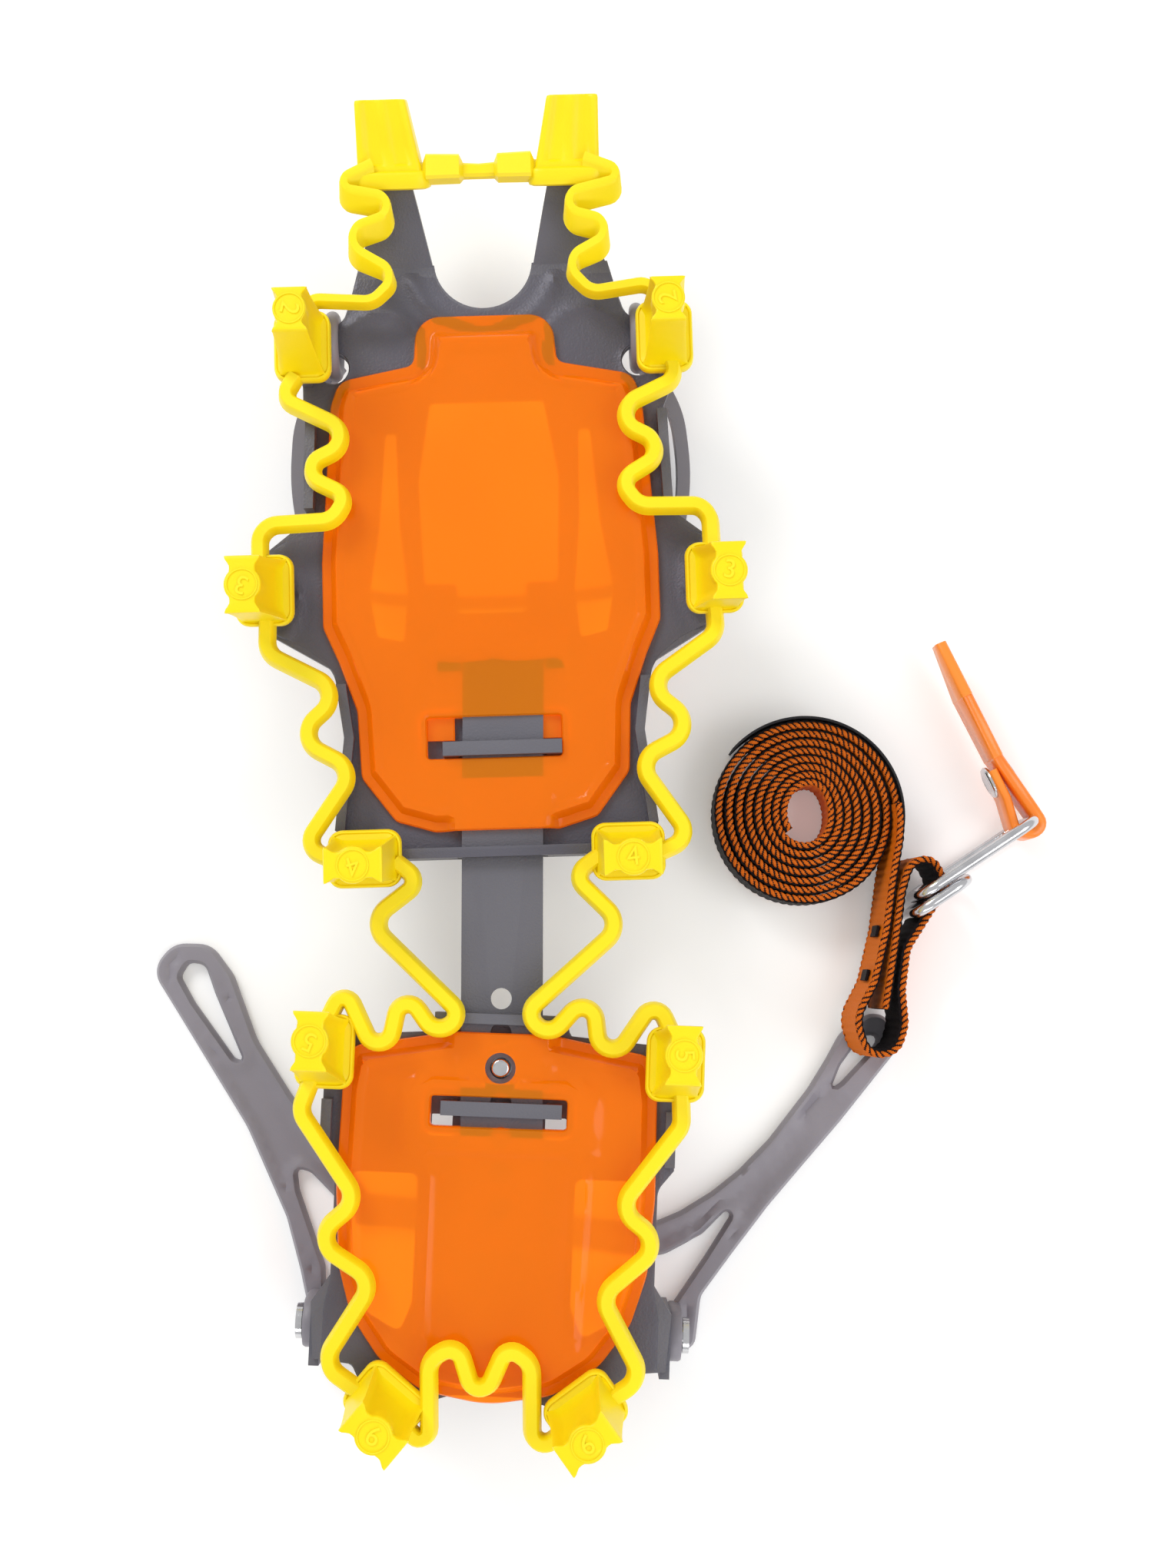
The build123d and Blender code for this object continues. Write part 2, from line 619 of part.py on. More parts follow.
def guard_link(side):
    """The stretch of the guard that spans the two halves and gives when the length is set."""
    left = [(-27.0, 36.5), (-20.5, 31.5), (-33.5, 21.2), (-10.4, -2.0), (-16.5, -6.5), (-25.0, 4.5),
            (-29.5, -15.5), (-38.5, 4.5)]
    right = [(25.0, 38.0), (18.0, 33.0), (30.5, 20.5), (6.8, -1.5), (12.2, -7.0), (23.0, 3.5),
             (25.5, -16.5), (38.3, 1.0)]
    link = strip(left if side < 0 else right, LINK_WIDTH, LINK_BOTTOM, LINK_HEIGHT)
    return link - FRONT * cap_room(FRONT_POINTS[-1], side) - HEEL * cap_room(HEEL_POINTS[0], side)


# ---- Strap ----
def strap_coil():
    x, y = COIL_PLACE
    coil = Pos(x, y, GROUND + WEB_WIDTH / 2) * Cylinder(COIL_RADIUS, WEB_WIDTH)
    return coil - Pos(x, y, GROUND) * Cylinder(COIL_HOLE, 3 * WEB_WIDTH)


def strap_lead():
    """Webbing from the coil round the arm's tip and back to the rings."""
    bottom = GROUND + ARM_THICK + RUN_GAP
    route = [
        (108.6, 58.0), (108.0, 46.0), (103.5, 33.0), (101.0, 20.0), (98.0, 6.0), (92.0, -4.0),
        (98.0, -14.0), (107.0, -8.0), (104.8, 4.0), (106.6, 16.0), (113.5, 26.0), (117.8, 33.0),
        (112.0, 39.5), (106.4, 34.0),
    ]
    return strip(route, WEB_THICK, bottom, WEB_WIDTH)


def ring(start, end):
    """A wire ring standing on edge between two points of the ground plan."""
    length = hypot(end[0] - start[0], end[1] - start[1]) - 2 * RING_WIRE
    height = RING_HEIGHT - 2 * RING_WIRE
    turn = degrees(atan2(end[1] - start[1], end[0] - start[0]))
    loop = RectangleRounded(length, height, 5.0).wire()
    edge = Plane(loop @ 0, z_dir=loop % 0)
    wire = sweep(edge * Circle(RING_WIRE), path=loop)
    middle = ((start[0] + end[0]) / 2, (start[1] + end[1]) / 2, GROUND + RING_HEIGHT / 2)
    return Location(middle, (0, 0, turn)) * Location((0, 0, 0), (90, 0, 0)) * wire


RING_START = (108.5, 28.0)
RING_END = (141.6, 49.6)
SMALL_RING_START = (107.3, 23.3)
SMALL_RING_END = (123.6, 34.0)


def tab_place():
    """At the large ring's far upright, facing along the tab."""
    reach = hypot(RING_END[0] - RING_START[0], RING_END[1] - RING_START[1])
    share = RING_WIRE / reach
    x = RING_END[0] - share * (RING_END[0] - RING_START[0])
    y = RING_END[1] - share * (RING_END[1] - RING_START[1])
    return Location((x, y, 0), (0, 0, TAB_TURN))


def pull_tab():
    """Moulded tab on edge, its folded end round the large ring."""
    half = TAB_THICK / 2
    grip = block(7.0, TAB_LENGTH, -half, half, GROUND, GROUND + WEB_WIDTH)
    neck = block(2.0, 8.0, -half, half, GROUND + 8.5, GROUND + WEB_WIDTH)
    hub = Pos(0, 0, GROUND + WEB_WIDTH / 2 + 4.5) * Cylinder(RING_WIRE + 2.2, 7.0)
    bore = Pos(0, 0, GROUND + RING_HEIGHT / 2) * Cylinder(RING_WIRE + PIVOT_GAP, 40.0)
    return tab_place() * (grip + neck + hub - bore)


def tab_rivet():
    """Rivet that closes the folded end of the pull tab: its two heads."""
    z = GROUND + WEB_WIDTH / 2
    half = TAB_THICK / 2
    heads = rod(2.6, 0.9, (14.0, half, z), (0, 1, 0)) + rod(2.6, 0.9, (14.0, -half - 0.9, z), (0, 1, 0))
    return tab_place() * heads


def pieces():
    return {
        "front_frame": front_frame(),
        "linking_bar": linking_bar(),
        "front_plate": front_plate(),
        "toe_cradle": toe_cradle(),
        "front_guard": front_guard(),
        "heel_frame": heel_frame(),
        "heel_plate": heel_plate(),
        "latch_pin": latch_pin(),
        "latch_lever": latch_lever(),
        "heel_guard": heel_guard(),
        "guard_link_left": guard_link(-1),
        "guard_link_right": guard_link(1),
        "heel_rivet_left": heel_rivet(-1),
        "heel_rivet_right": heel_rivet(1),
        "heel_cradle": heel_cradle(),
        "strap_coil": strap_coil(),
        "strap_lead": strap_lead(),
        "large_ring": ring(RING_START, RING_END),
        "small_ring": ring(SMALL_RING_START, SMALL_RING_END),
        "pull_tab": pull_tab(),
        "tab_rivet": tab_rivet(),
    }


os.makedirs("parts", exist_ok=True)
for name, shape in pieces().items():
    export_step(STAND * shape, f"parts/{name}.step")
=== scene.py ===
"""Looks of the crampon: powder-coated halves, translucent anti-balling plates, rubber point guard,
moulded cradles and a rolled ankle strap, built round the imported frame. Metres, except where a name
ends in MM; the shapes' own points are millimetres too, u across a half and v along it."""

import json
from math import atan2, cos, hypot, pi, radians, sin, tan

import bmesh
import bpy
import numpy as np
from mathutils import Matrix, Vector
from mathutils.geometry import delaunay_2d_cdt


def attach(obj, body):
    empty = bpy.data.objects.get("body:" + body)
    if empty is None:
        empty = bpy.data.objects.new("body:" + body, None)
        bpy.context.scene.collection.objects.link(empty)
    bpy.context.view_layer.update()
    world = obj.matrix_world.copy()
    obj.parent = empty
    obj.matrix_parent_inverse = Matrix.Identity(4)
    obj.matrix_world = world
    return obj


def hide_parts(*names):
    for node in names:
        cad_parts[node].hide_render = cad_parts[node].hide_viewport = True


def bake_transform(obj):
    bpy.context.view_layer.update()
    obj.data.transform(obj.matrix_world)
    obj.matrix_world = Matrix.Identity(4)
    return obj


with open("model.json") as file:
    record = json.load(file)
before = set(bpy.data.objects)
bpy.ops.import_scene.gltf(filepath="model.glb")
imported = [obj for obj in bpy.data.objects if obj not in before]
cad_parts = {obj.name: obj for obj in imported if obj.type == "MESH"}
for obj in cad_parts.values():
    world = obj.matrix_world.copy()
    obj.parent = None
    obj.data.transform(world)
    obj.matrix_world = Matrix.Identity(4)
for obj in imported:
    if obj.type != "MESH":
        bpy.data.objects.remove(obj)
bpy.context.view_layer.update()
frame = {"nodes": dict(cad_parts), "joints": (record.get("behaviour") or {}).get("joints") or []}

MM = 0.001
GROUND_MM = -30.0            # the ground, below the boot side of the sheet
SHEET_MM = 2.6
PLATE_BOTTOM_MM = 2.9
LINK_BOTTOM_MM = 10.0
CAP_TOP_MM = 36.9
TOOTH_TIP_MM = 34.0
WEB_WIDTH_MM = 15.0
RING_HEIGHT_MM = 24.0
TOE_HOOK_MM = (137.7, -1.0)  # v and height of each cradle's pivot in its half
HEEL_RIVET_MM = (-70.0, -17.0)
HEEL_POST_MM = 43.0          # inner face of the heel posts
CENTRE_MM = (25.6, 63.1)     # the bench drawing's origin is this far from the model's


# ---- Places ----
def joint(name):
    return next(j for j in frame["joints"] if j["name"] == name)


def half_place(joint_name, v_mm, z_mm):
    """Frame of one half, found from a pivot that lies on its centreline at v, z."""
    pivot = joint(joint_name)
    across = Vector(pivot["axis"]).normalized()
    along = Vector((0, 0, 1)).cross(across)
    origin = Vector(pivot["pos_m"]) - along * v_mm * MM - Vector((0, 0, z_mm * MM))
    turned = Matrix((across, along, Vector((0, 0, 1)))).transposed().to_4x4()
    return Matrix.Translation(origin) @ turned


FRONT = half_place("toe_fold", *TOE_HOOK_MM)
HEEL = half_place("heel_fold", *HEEL_RIVET_MM)
BENCH = Matrix.Translation((-CENTRE_MM[0] * MM, -CENTRE_MM[1] * MM, -GROUND_MM * MM))


# ---- Camera, light and ground ----
LENS_MM = 46.1
CAMERA_MM = (19.0, 6.4, 520.0)
AIM_MM = (19.0, 57.4, 0.0)


def set_camera():
    data = bpy.data.cameras.new("camera")
    data.sensor_fit = "VERTICAL"
    data.sensor_height = 36.0
    data.lens = LENS_MM
    camera = bpy.data.objects.new("camera", data)
    bpy.context.scene.collection.objects.link(camera)
    camera.location = BENCH @ Vector([c * MM for c in CAMERA_MM])
    aim = BENCH @ Vector([c * MM for c in AIM_MM])
    camera.rotation_euler = (aim - camera.location).to_track_quat("-Z", "Y").to_euler()
    bpy.context.scene.camera = camera


def add_area(name, place, aim, size, power):
    data = bpy.data.lights.new(name, "AREA")
    data.shape = "RECTANGLE"
    data.size, data.size_y = size
    data.energy = power
    light = bpy.data.objects.new(name, data)
    light.location = place
    light.rotation_euler = (Vector(aim) - Vector(place)).to_track_quat("-Z", "Y").to_euler()
    bpy.context.scene.collection.objects.link(light)


def set_light():
    world = bpy.data.worlds.new("studio")
    world.use_nodes = True
    background = world.node_tree.nodes["Background"]
    background.inputs["Color"].default_value = (1.0, 1.0, 1.0, 1.0)
    background.inputs["Strength"].default_value = 0.72
    bpy.context.scene.world = world
    add_area("key", (-0.6, 0.7, 0.8), (0, 0, 0), (0.5, 0.4), 6.0)
    add_area("fill", (0.7, -0.2, 0.8), (0, 0, 0), (0.6, 0.6), 3.0)
    add_area("rim", (0.1, -0.9, 0.5), (0, 0, 0), (0.8, 0.3), 2.0)
    bpy.context.scene.view_settings.view_transform = "Standard"


def add_ground():
    bpy.ops.mesh.primitive_plane_add(size=8.0, location=(0, 0, -0.0002))
    ground = bpy.context.object
    ground.name = "ground"
    paper = material(
        "ground", (0.9, 0.9, 0.9), 0.9, Emission_Color=(1.0, 1.0, 1.0, 1.0), Emission_Strength=0.16
    )
    ground.data.materials.append(paper)


# ---- Shader effects ----
def new_group(name, inputs, outputs):
    """An empty effect with named sockets: inputs are (name, kind, value)."""
    group = bpy.data.node_groups.new(name, "ShaderNodeTree")
    for label, kind, value in inputs:
        socket = group.interface.new_socket(label, in_out="INPUT", socket_type=kind)
        socket.default_value = value
    for label, kind in outputs:
        group.interface.new_socket(label, in_out="OUTPUT", socket_type=kind)
    return group, group.nodes.new("NodeGroupInput"), group.nodes.new("NodeGroupOutput")


def wire(tree, node_type, links=(), **settings):
    """Adds a node, sets its properties and default values, and links its inputs."""
    node = tree.nodes.new(node_type)
    for key, value in settings.items():
        if key.startswith("in_"):
            node.inputs[int(key[3:])].default_value = value
        else:
            setattr(node, key, value)
    for index, source in links:
        tree.links.new(source, node.inputs[index])
    return node


def make_grain():
    """Fine moulding or coating grain: a height and a slow shade variation."""
    group, given, result = new_group(
        "surface_grain",
        [("Grain", "NodeSocketFloat", 900.0), ("Mottle", "NodeSocketFloat", 40.0)],
        [("Height", "NodeSocketFloat"), ("Shade", "NodeSocketFloat")],
    )
    place = wire(group, "ShaderNodeTexCoord")
    fine = wire(group, "ShaderNodeTexNoise", [(0, place.outputs["Object"]), (2, given.outputs["Grain"])])
    slow = wire(group, "ShaderNodeTexNoise", [(0, place.outputs["Object"]), (2, given.outputs["Mottle"])])
    group.links.new(fine.outputs["Fac"], result.inputs["Height"])
    group.links.new(slow.outputs["Fac"], result.inputs["Shade"])
    return group


def make_wear():
    """Lighter rubbed edges, from the geometry's own pointiness."""
    group, given, result = new_group(
        "edge_wear",
        [("Base", "NodeSocketColor", (0.5, 0.5, 0.5, 1)), ("Worn", "NodeSocketColor", (0.8, 0.8, 0.8, 1)),
         ("Amount", "NodeSocketFloat", 0.5)],
        [("Color", "NodeSocketColor"), ("Mask", "NodeSocketFloat")],
    )
    shape = wire(group, "ShaderNodeNewGeometry")
    ramp = wire(group, "ShaderNodeMapRange", [(0, shape.outputs["Pointiness"])], in_1=0.52, in_2=0.6)
    amount = wire(
        group, "ShaderNodeMath", [(0, ramp.outputs[0]), (1, given.outputs["Amount"])], operation="MULTIPLY"
    )
    mix = wire(group, "ShaderNodeMix", data_type="RGBA")
    group.links.new(amount.outputs[0], mix.inputs[0])
    group.links.new(given.outputs["Base"], mix.inputs[6])
    group.links.new(given.outputs["Worn"], mix.inputs[7])
    group.links.new(mix.outputs[2], result.inputs["Color"])
    group.links.new(amount.outputs[0], result.inputs["Mask"])
    return group


GRAIN = make_grain()
WEAR = make_wear()


def material(name, color, roughness, **shader_values):
    """A plain Principled material; a finish adds its nodes to it."""
    made = bpy.data.materials.new(name)
    made.use_nodes = True
    shader = made.node_tree.nodes["Principled BSDF"]
    shader.inputs["Base Color"].default_value = (*color, 1.0)
    shader.inputs["Roughness"].default_value = roughness
    for label, value in shader_values.items():
        shader.inputs[label.replace("_", " ")].default_value = value
    return made


def mix_tones(tree, share, low, high):
    """A colour between two, by a share."""
    mix = wire(tree, "ShaderNodeMix", [(0, share)], data_type="RGBA", in_6=(*low, 1), in_7=(*high, 1))
    return mix.outputs[2]


def raise_surface(tree, height, strength):
    """Bumps a material's surface by a height."""
    bump = wire(tree, "ShaderNodeBump", in_0=strength, in_1=0.0002)
    tree.links.new(height, bump.inputs["Height"])
    tree.links.new(bump.outputs[0], tree.nodes["Principled BSDF"].inputs["Normal"])


def finish_surface(made, color, worn, wear, grain, mottle, shade, bump, rough_low, rough_high):
    """Grain, slow shade change, worn edges and roughness break-up on a Principled material."""
    tree = made.node_tree
    shader = tree.nodes["Principled BSDF"]
    texture = tree.nodes.new("ShaderNodeGroup")
    texture.node_tree = GRAIN
    texture.inputs["Grain"].default_value = grain
    texture.inputs["Mottle"].default_value = mottle
    dark = [c * (1 - shade) for c in color]
    light = [min(1.0, c * (1 + shade)) for c in color]
    tone = mix_tones(tree, texture.outputs["Shade"], dark, light)
    edges = tree.nodes.new("ShaderNodeGroup")
    edges.node_tree = WEAR
    edges.inputs["Worn"].default_value = (*worn, 1)
    edges.inputs["Amount"].default_value = wear
    tree.links.new(tone, edges.inputs["Base"])
    tree.links.new(edges.outputs["Color"], shader.inputs["Base Color"])
    spread = {"in_3": rough_low, "in_4": rough_high}
    rough = wire(tree, "ShaderNodeMapRange", [(0, texture.outputs["Shade"])], **spread)
    tree.links.new(rough.outputs[0], shader.inputs["Roughness"])
    raise_surface(tree, texture.outputs["Height"], bump)
    return made


def powder_coat():
    color = (0.1, 0.097, 0.124)
    made = material("powder_coated_steel", color, 0.5, Metallic=0.25)
    return finish_surface(made, color, (0.2, 0.2, 0.22), 0.35, 1700, 30, 0.2, 0.6, 0.34, 0.56)


def yellow_rubber():
    color = (0.9, 0.71, 0.003)
    made = material(
        "yellow_rubber", color, 0.42, Subsurface_Weight=0.05, Subsurface_Scale=0.0015,
        Specular_IOR_Level=0.3,
    )
    return finish_surface(made, color, (0.98, 0.82, 0.04), 0.35, 1500, 60, 0.06, 0.14, 0.32, 0.48)


def grey_moulding():
    color = (0.245, 0.227, 0.26)
    made = material("grey_moulding", color, 0.5)
    return finish_surface(made, color, (0.26, 0.25, 0.26), 0.3, 1800, 45, 0.1, 0.15, 0.38, 0.52)


def orange_plate():
    color = (1.0, 0.3, 0.006)
    # The orange emission is a painted glow: it stands in for light shining through the plate from beneath.
    made = material(
        "translucent_orange_painted_glow", color, 0.2, Transmission_Weight=0.66, IOR=1.2, Coat_Weight=0.14,
        Coat_Roughness=0.08, Emission_Color=(1.0, 0.18, 0.0, 1.0), Emission_Strength=0.17,
    )
    return finish_surface(made, color, (1.0, 0.32, 0.03), 0.4, 700, 25, 0.08, 0.05, 0.14, 0.26)


def bright_steel():
    color = (0.56, 0.56, 0.58)
    made = material("bright_steel", color, 0.2, Metallic=1.0)
    return finish_surface(made, color, (0.8, 0.8, 0.8), 0.3, 3000, 160, 0.22, 0.1, 0.08, 0.24)


def woven(name, color, under):
    """Polyester threads: fine strand waves over a darker ground."""
    made = material(name, color, 0.62, Specular_IOR_Level=0.12)
    tree = made.node_tree
    place = wire(tree, "ShaderNodeTexCoord")
    threads = wire(
        tree, "ShaderNodeTexWave", [(0, place.outputs["Object"])], in_1=900.0, in_2=6.0, in_3=2.0,
        bands_direction="DIAGONAL",
    )
    between = [0.7 * c + 0.3 * d for c, d in zip(color, under)]
    tone = mix_tones(tree, threads.outputs["Fac"], between, color)
    tree.links.new(tone, tree.nodes["Principled BSDF"].inputs["Base Color"])
    raise_surface(tree, threads.outputs["Fac"], 0.5)
    return made


def orange_tab():
    color = (0.92, 0.2, 0.008)
    made = material("orange_tab", color, 0.3, Coat_Weight=0.1, Coat_Roughness=0.1)
    return finish_surface(made, color, (1.0, 0.36, 0.05), 0.4, 900, 60, 0.06, 0.08, 0.22, 0.34)


# ---- Outlines ----
def arc_corner(before, corner, after, radius, step=1.0):
    """Points of the rounded corner between two runs of an outline."""
    a = np.subtract(before, corner)
    b = np.subtract(after, corner)
    run_a, run_b = np.hypot(*a), np.hypot(*b)
    a, b = a / run_a, b / run_b
    half = np.arccos(np.clip(a @ b, -1, 1)) / 2
    reach = min(radius / max(tan(half), 1e-6), 0.48 * run_a, 0.48 * run_b)
    radius = reach * tan(half)
    if radius < 0.05 or half > 1.55:
        return [tuple(corner)]
    start, end = corner + a * reach, corner + b * reach
    middle = corner + (a + b) / np.hypot(*(a + b)) * hypot(radius, reach)
    first = atan2(*(start - middle)[::-1])
    sweep = (atan2(*(end - middle)[::-1]) - first + pi) % (2 * pi) - pi
    count = max(3, int(abs(sweep) * radius / step) + 2)
    angles = first + np.linspace(0, sweep, count)
    return [(middle[0] + radius * cos(t), middle[1] + radius * sin(t)) for t in angles]


def rounded_loop(points, radius=2.0, step=1.6):
    """A closed outline with rounded corners and evenly divided runs; a point may carry its own radius."""
    flat = [np.array(p[:2], float) for p in points]
    loop = []
    for i, point in enumerate(points):
        own = point[2] if len(point) > 2 else radius
        loop += arc_corner(flat[i - 1], flat[i], flat[(i + 1) % len(flat)], own, step * 0.6)
    full = []
    for i, p in enumerate(loop):
        q = loop[(i + 1) % len(loop)]
        cuts = max(1, int(hypot(q[0] - p[0], q[1] - p[1]) / step))
        full += [(p[0] + (q[0] - p[0]) * k / cuts, p[1] + (q[1] - p[1]) * k / cuts) for k in range(cuts)]
    return np.array(full)


def rounded_route(points, radius=4.0, step=1.0):
    """An open route with rounded corners."""
    route = [tuple(points[0])]
    flat = [np.array(p, float) for p in points]
    for before, corner, after in zip(flat, flat[1:], flat[2:]):
        route += arc_corner(before, corner, after, radius, step)
    route.append(tuple(points[-1]))
    return np.array(route)


def both_sides(half):
    """Closes a right-hand outline with its left-hand copy."""
    return half + [(-p[0], *p[1:]) for p in reversed(half) if p[0]]


def circle_loop(u, v, radius, count=28):
    turns = np.linspace(0, 2 * pi, count, endpoint=False)
    return np.stack([u + radius * np.cos(turns), v + radius * np.sin(turns)], 1)


def edge_distance(points, loops):
    """Distance of each point from the nearest outline."""
    best = np.full(len(points), 1e9)
    for loop in loops:
        a, b = loop, np.roll(loop, -1, 0)
        run = b - a
        length = (run ** 2).sum(1)
        rel = points[:, None, :] - a[None]
        share = np.clip((rel * run).sum(2) / length, 0, 1)
        gap = rel - share[..., None] * run
        best = np.minimum(best, np.sqrt((gap ** 2).sum(2)).min(1))
    return best


def inside(points, loops):
    """Whether each point lies within the outer loop and outside every hole."""
    odd = np.zeros(len(points), bool)
    for loop in loops:
        a, b = loop, np.roll(loop, -1, 0)
        x, y = points[:, 0:1], points[:, 1:2]
        spans = (a[:, 1] > y) != (b[:, 1] > y)
        with np.errstate(divide="ignore", invalid="ignore"):
            cross = a[:, 0] + (y - a[:, 1]) / (b[:, 1] - a[:, 1]) * (b[:, 0] - a[:, 0])
        odd ^= (spans & (x < cross)).sum(1) % 2 == 1
    return odd


def step_up(value, low, high):
    """A smooth rise from 0 to 1 between two limits."""
    t = np.clip((value - low) / (high - low), 0, 1)
    return t * t * (3 - 2 * t)


def round_edge(depth, radius):
    """How far a rounded edge lies below its face at a depth from the outline."""
    inner = np.clip(depth, 0, radius)
    return radius - np.sqrt(np.maximum(radius ** 2 - (radius - inner) ** 2, 0))


# ---- Meshes ----
def relief(loops, top, bottom, grid=1.6, rows=(0.35, 0.9, 1.7)):
    """A closed plate inside outlines, its faces given as heights over (u, v, distance from the edge)."""
    points = [np.concatenate(loops)]
    edges, start = [], 0
    for loop in loops:
        n = len(loop)
        edges += [(start + i, start + (i + 1) % n) for i in range(n)]
        start += n
    for depth in rows:
        for loop in loops:
            tangent = np.roll(loop, -1, 0) - np.roll(loop, 1, 0)
            normal = np.stack([-tangent[:, 1], tangent[:, 0]], 1)
            normal /= np.hypot(normal[:, 0], normal[:, 1])[:, None]
            for way in (1, -1):
                row = loop + way * normal * depth
                keep = inside(row, loops) & (edge_distance(row, loops) > 0.9 * depth)
                points.append(row[keep])
    low, high = loops[0].min(0), loops[0].max(0)
    us = np.arange(low[0], high[0], grid)
    vs = np.arange(low[1], high[1], grid)
    mesh = np.stack(np.meshgrid(us, vs), -1).reshape(-1, 2)
    keep = inside(mesh, loops)
    mesh = mesh[keep]
    points.append(mesh[edge_distance(mesh, loops) > rows[-1] + 0.4 * grid])
    flat = np.concatenate(points)
    out = delaunay_2d_cdt([Vector(p) for p in flat], edges, [], 0, 1e-5)
    flat = np.array([tuple(p) for p in out[0]])
    faces = np.array([tuple(f) for f in out[2]])
    middles = flat[faces].mean(1)
    faces = faces[inside(middles, loops)]
    depth = edge_distance(flat, loops)
    depth[depth < 1e-4] = 0
    upper = top(flat[:, 0], flat[:, 1], depth)
    lower = bottom(flat[:, 0], flat[:, 1], depth)
    count = len(flat)
    verts = [(*p, z) for p, z in zip(flat, upper)] + [(*p, z) for p, z in zip(flat, lower)]
    quads = [tuple(f) for f in faces] + [tuple(i + count for i in reversed(f)) for f in faces]
    uses = {}
    for a, b, c in faces:
        for edge in ((a, b), (b, c), (c, a)):
            uses[edge] = True
    for a, b in uses:
        if (b, a) not in uses:
            quads.append((b, a, a + count, b + count))
    return verts, quads


def tube(rings, closed=False):
    """Quads over a list of equal rings, with end faces unless the last ring joins the first."""
    n = len(rings[0])
    verts = [tuple(p) for ring in rings for p in ring]
    faces = []
    last = len(rings) if closed else len(rings) - 1
    for i in range(last):
        j = (i + 1) % len(rings)
        faces += [(i * n + k, i * n + (k + 1) % n, j * n + (k + 1) % n, j * n + k) for k in range(n)]
    if not closed:
        faces.append(tuple(reversed(range(n))))
        faces.append(tuple(range((len(rings) - 1) * n, len(rings) * n)))
    return verts, faces


def band(route, profile, heights=None, closed=False):
    """A profile (across, up) carried along a flat route; heights lifts it along the way."""
    route = np.asarray(route, float)
    ahead = np.roll(route, -1, 0) - np.roll(route, 1, 0)
    if not closed:
        ahead[0], ahead[-1] = route[1] - route[0], route[-1] - route[-2]
    ahead /= np.hypot(ahead[:, 0], ahead[:, 1])[:, None]
    lift = np.zeros(len(route)) if heights is None else np.asarray(heights)
    rings = []
    for point, way, z in zip(route, ahead, lift):
        rings.append([(point[0] - way[1] * a, point[1] + way[0] * a, z + up) for a, up in profile])
    return tube(rings, closed)


def box_profile(width, height, bevel):
    """A rectangle with bevelled corners, standing on zero."""
    w, b = width / 2, bevel
    return [(-w + b, 0), (w - b, 0), (w, b), (w, height - b), (w - b, height), (-w + b, height),
            (-w, height - b), (-w, b)]


def joined(parts):
    """Several (verts, faces) as one."""
    verts, faces = [], []
    for more, shapes in parts:
        base = len(verts)
        verts += list(more)
        faces += [tuple(i + base for i in face) for face in shapes]
    return verts, faces


def moved(shape, place):
    """A shape in millimetres, moved by a matrix whose offset is in millimetres."""
    return [tuple(place @ Vector(v)) for v in shape[0]], shape[1]


def make_piece(name, shape, place, finish, body, replaces=(), sharp=38.0):
    """A Blender object from a shape in millimetres in one half's frame."""
    verts, faces = shape
    mesh = bpy.data.meshes.new(name)
    mesh.from_pydata([tuple(place @ (Vector(v) * MM)) for v in verts], [], faces)
    mesh.validate()
    work = bmesh.new()
    work.from_mesh(mesh)
    bmesh.ops.remove_doubles(work, verts=work.verts, dist=1e-6)
    bmesh.ops.recalc_face_normals(work, faces=work.faces)
    work.to_mesh(mesh)
    work.free()
    mesh.shade_smooth()
    mesh.set_sharp_from_angle(angle=radians(sharp))
    mesh.materials.append(finish)
    piece = bpy.data.objects.new(name, mesh)
    bpy.context.scene.collection.objects.link(piece)
    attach(piece, body)
    for node in replaces:
        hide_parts(node)
    return piece


# ---- Point guard ----
CAP_ROWS = 18
DIGIT_RISE_MM = 0.42


def side_points(half_width, half_length, corner):
    """A rounded rectangle as four sides of equal count, so that rings of caps match."""
    loop = []
    corners = [(1, -1), (1, 1), (-1, 1), (-1, -1)]
    for i, (sx, sy) in enumerate(corners):
        nx, ny = corners[(i + 1) % 4]
        for k in range(CAP_ROWS):
            t = k / CAP_ROWS
            x = half_width * (sx + (nx - sx) * t)
            y = half_length * (sy + (ny - sy) * t)
            inner_x = np.clip(x, -half_width + corner, half_width - corner)
            inner_y = np.clip(y, -half_length + corner, half_length - corner)
            gap = hypot(x - inner_x, y - inner_y)
            if abs(x) > half_width - corner and abs(y) > half_length - corner and gap > 0:
                x = inner_x + (x - inner_x) * corner / gap
                y = inner_y + (y - inner_y) * corner / gap
            loop.append((x, y))
    return loop


def waisted(half_width, half_length, waist, disc):
    """A cap's section: square ends, a hollow waist on the long sides and a disc that bulges from it."""
    loop = []
    for x, y in side_points(half_width, half_length, 0.3):
        if abs(abs(x) - half_width) < 0.31:
            near = abs(y) / half_length
            width = half_width + (waist - half_width) * (1 - step_up(near, 0.62, 0.98))
            if abs(y) < disc:
                width = max(width, (disc ** 2 - y ** 2) ** 0.5)
            x = width if x > 0 else -width
        loop.append((x, y))
    return loop


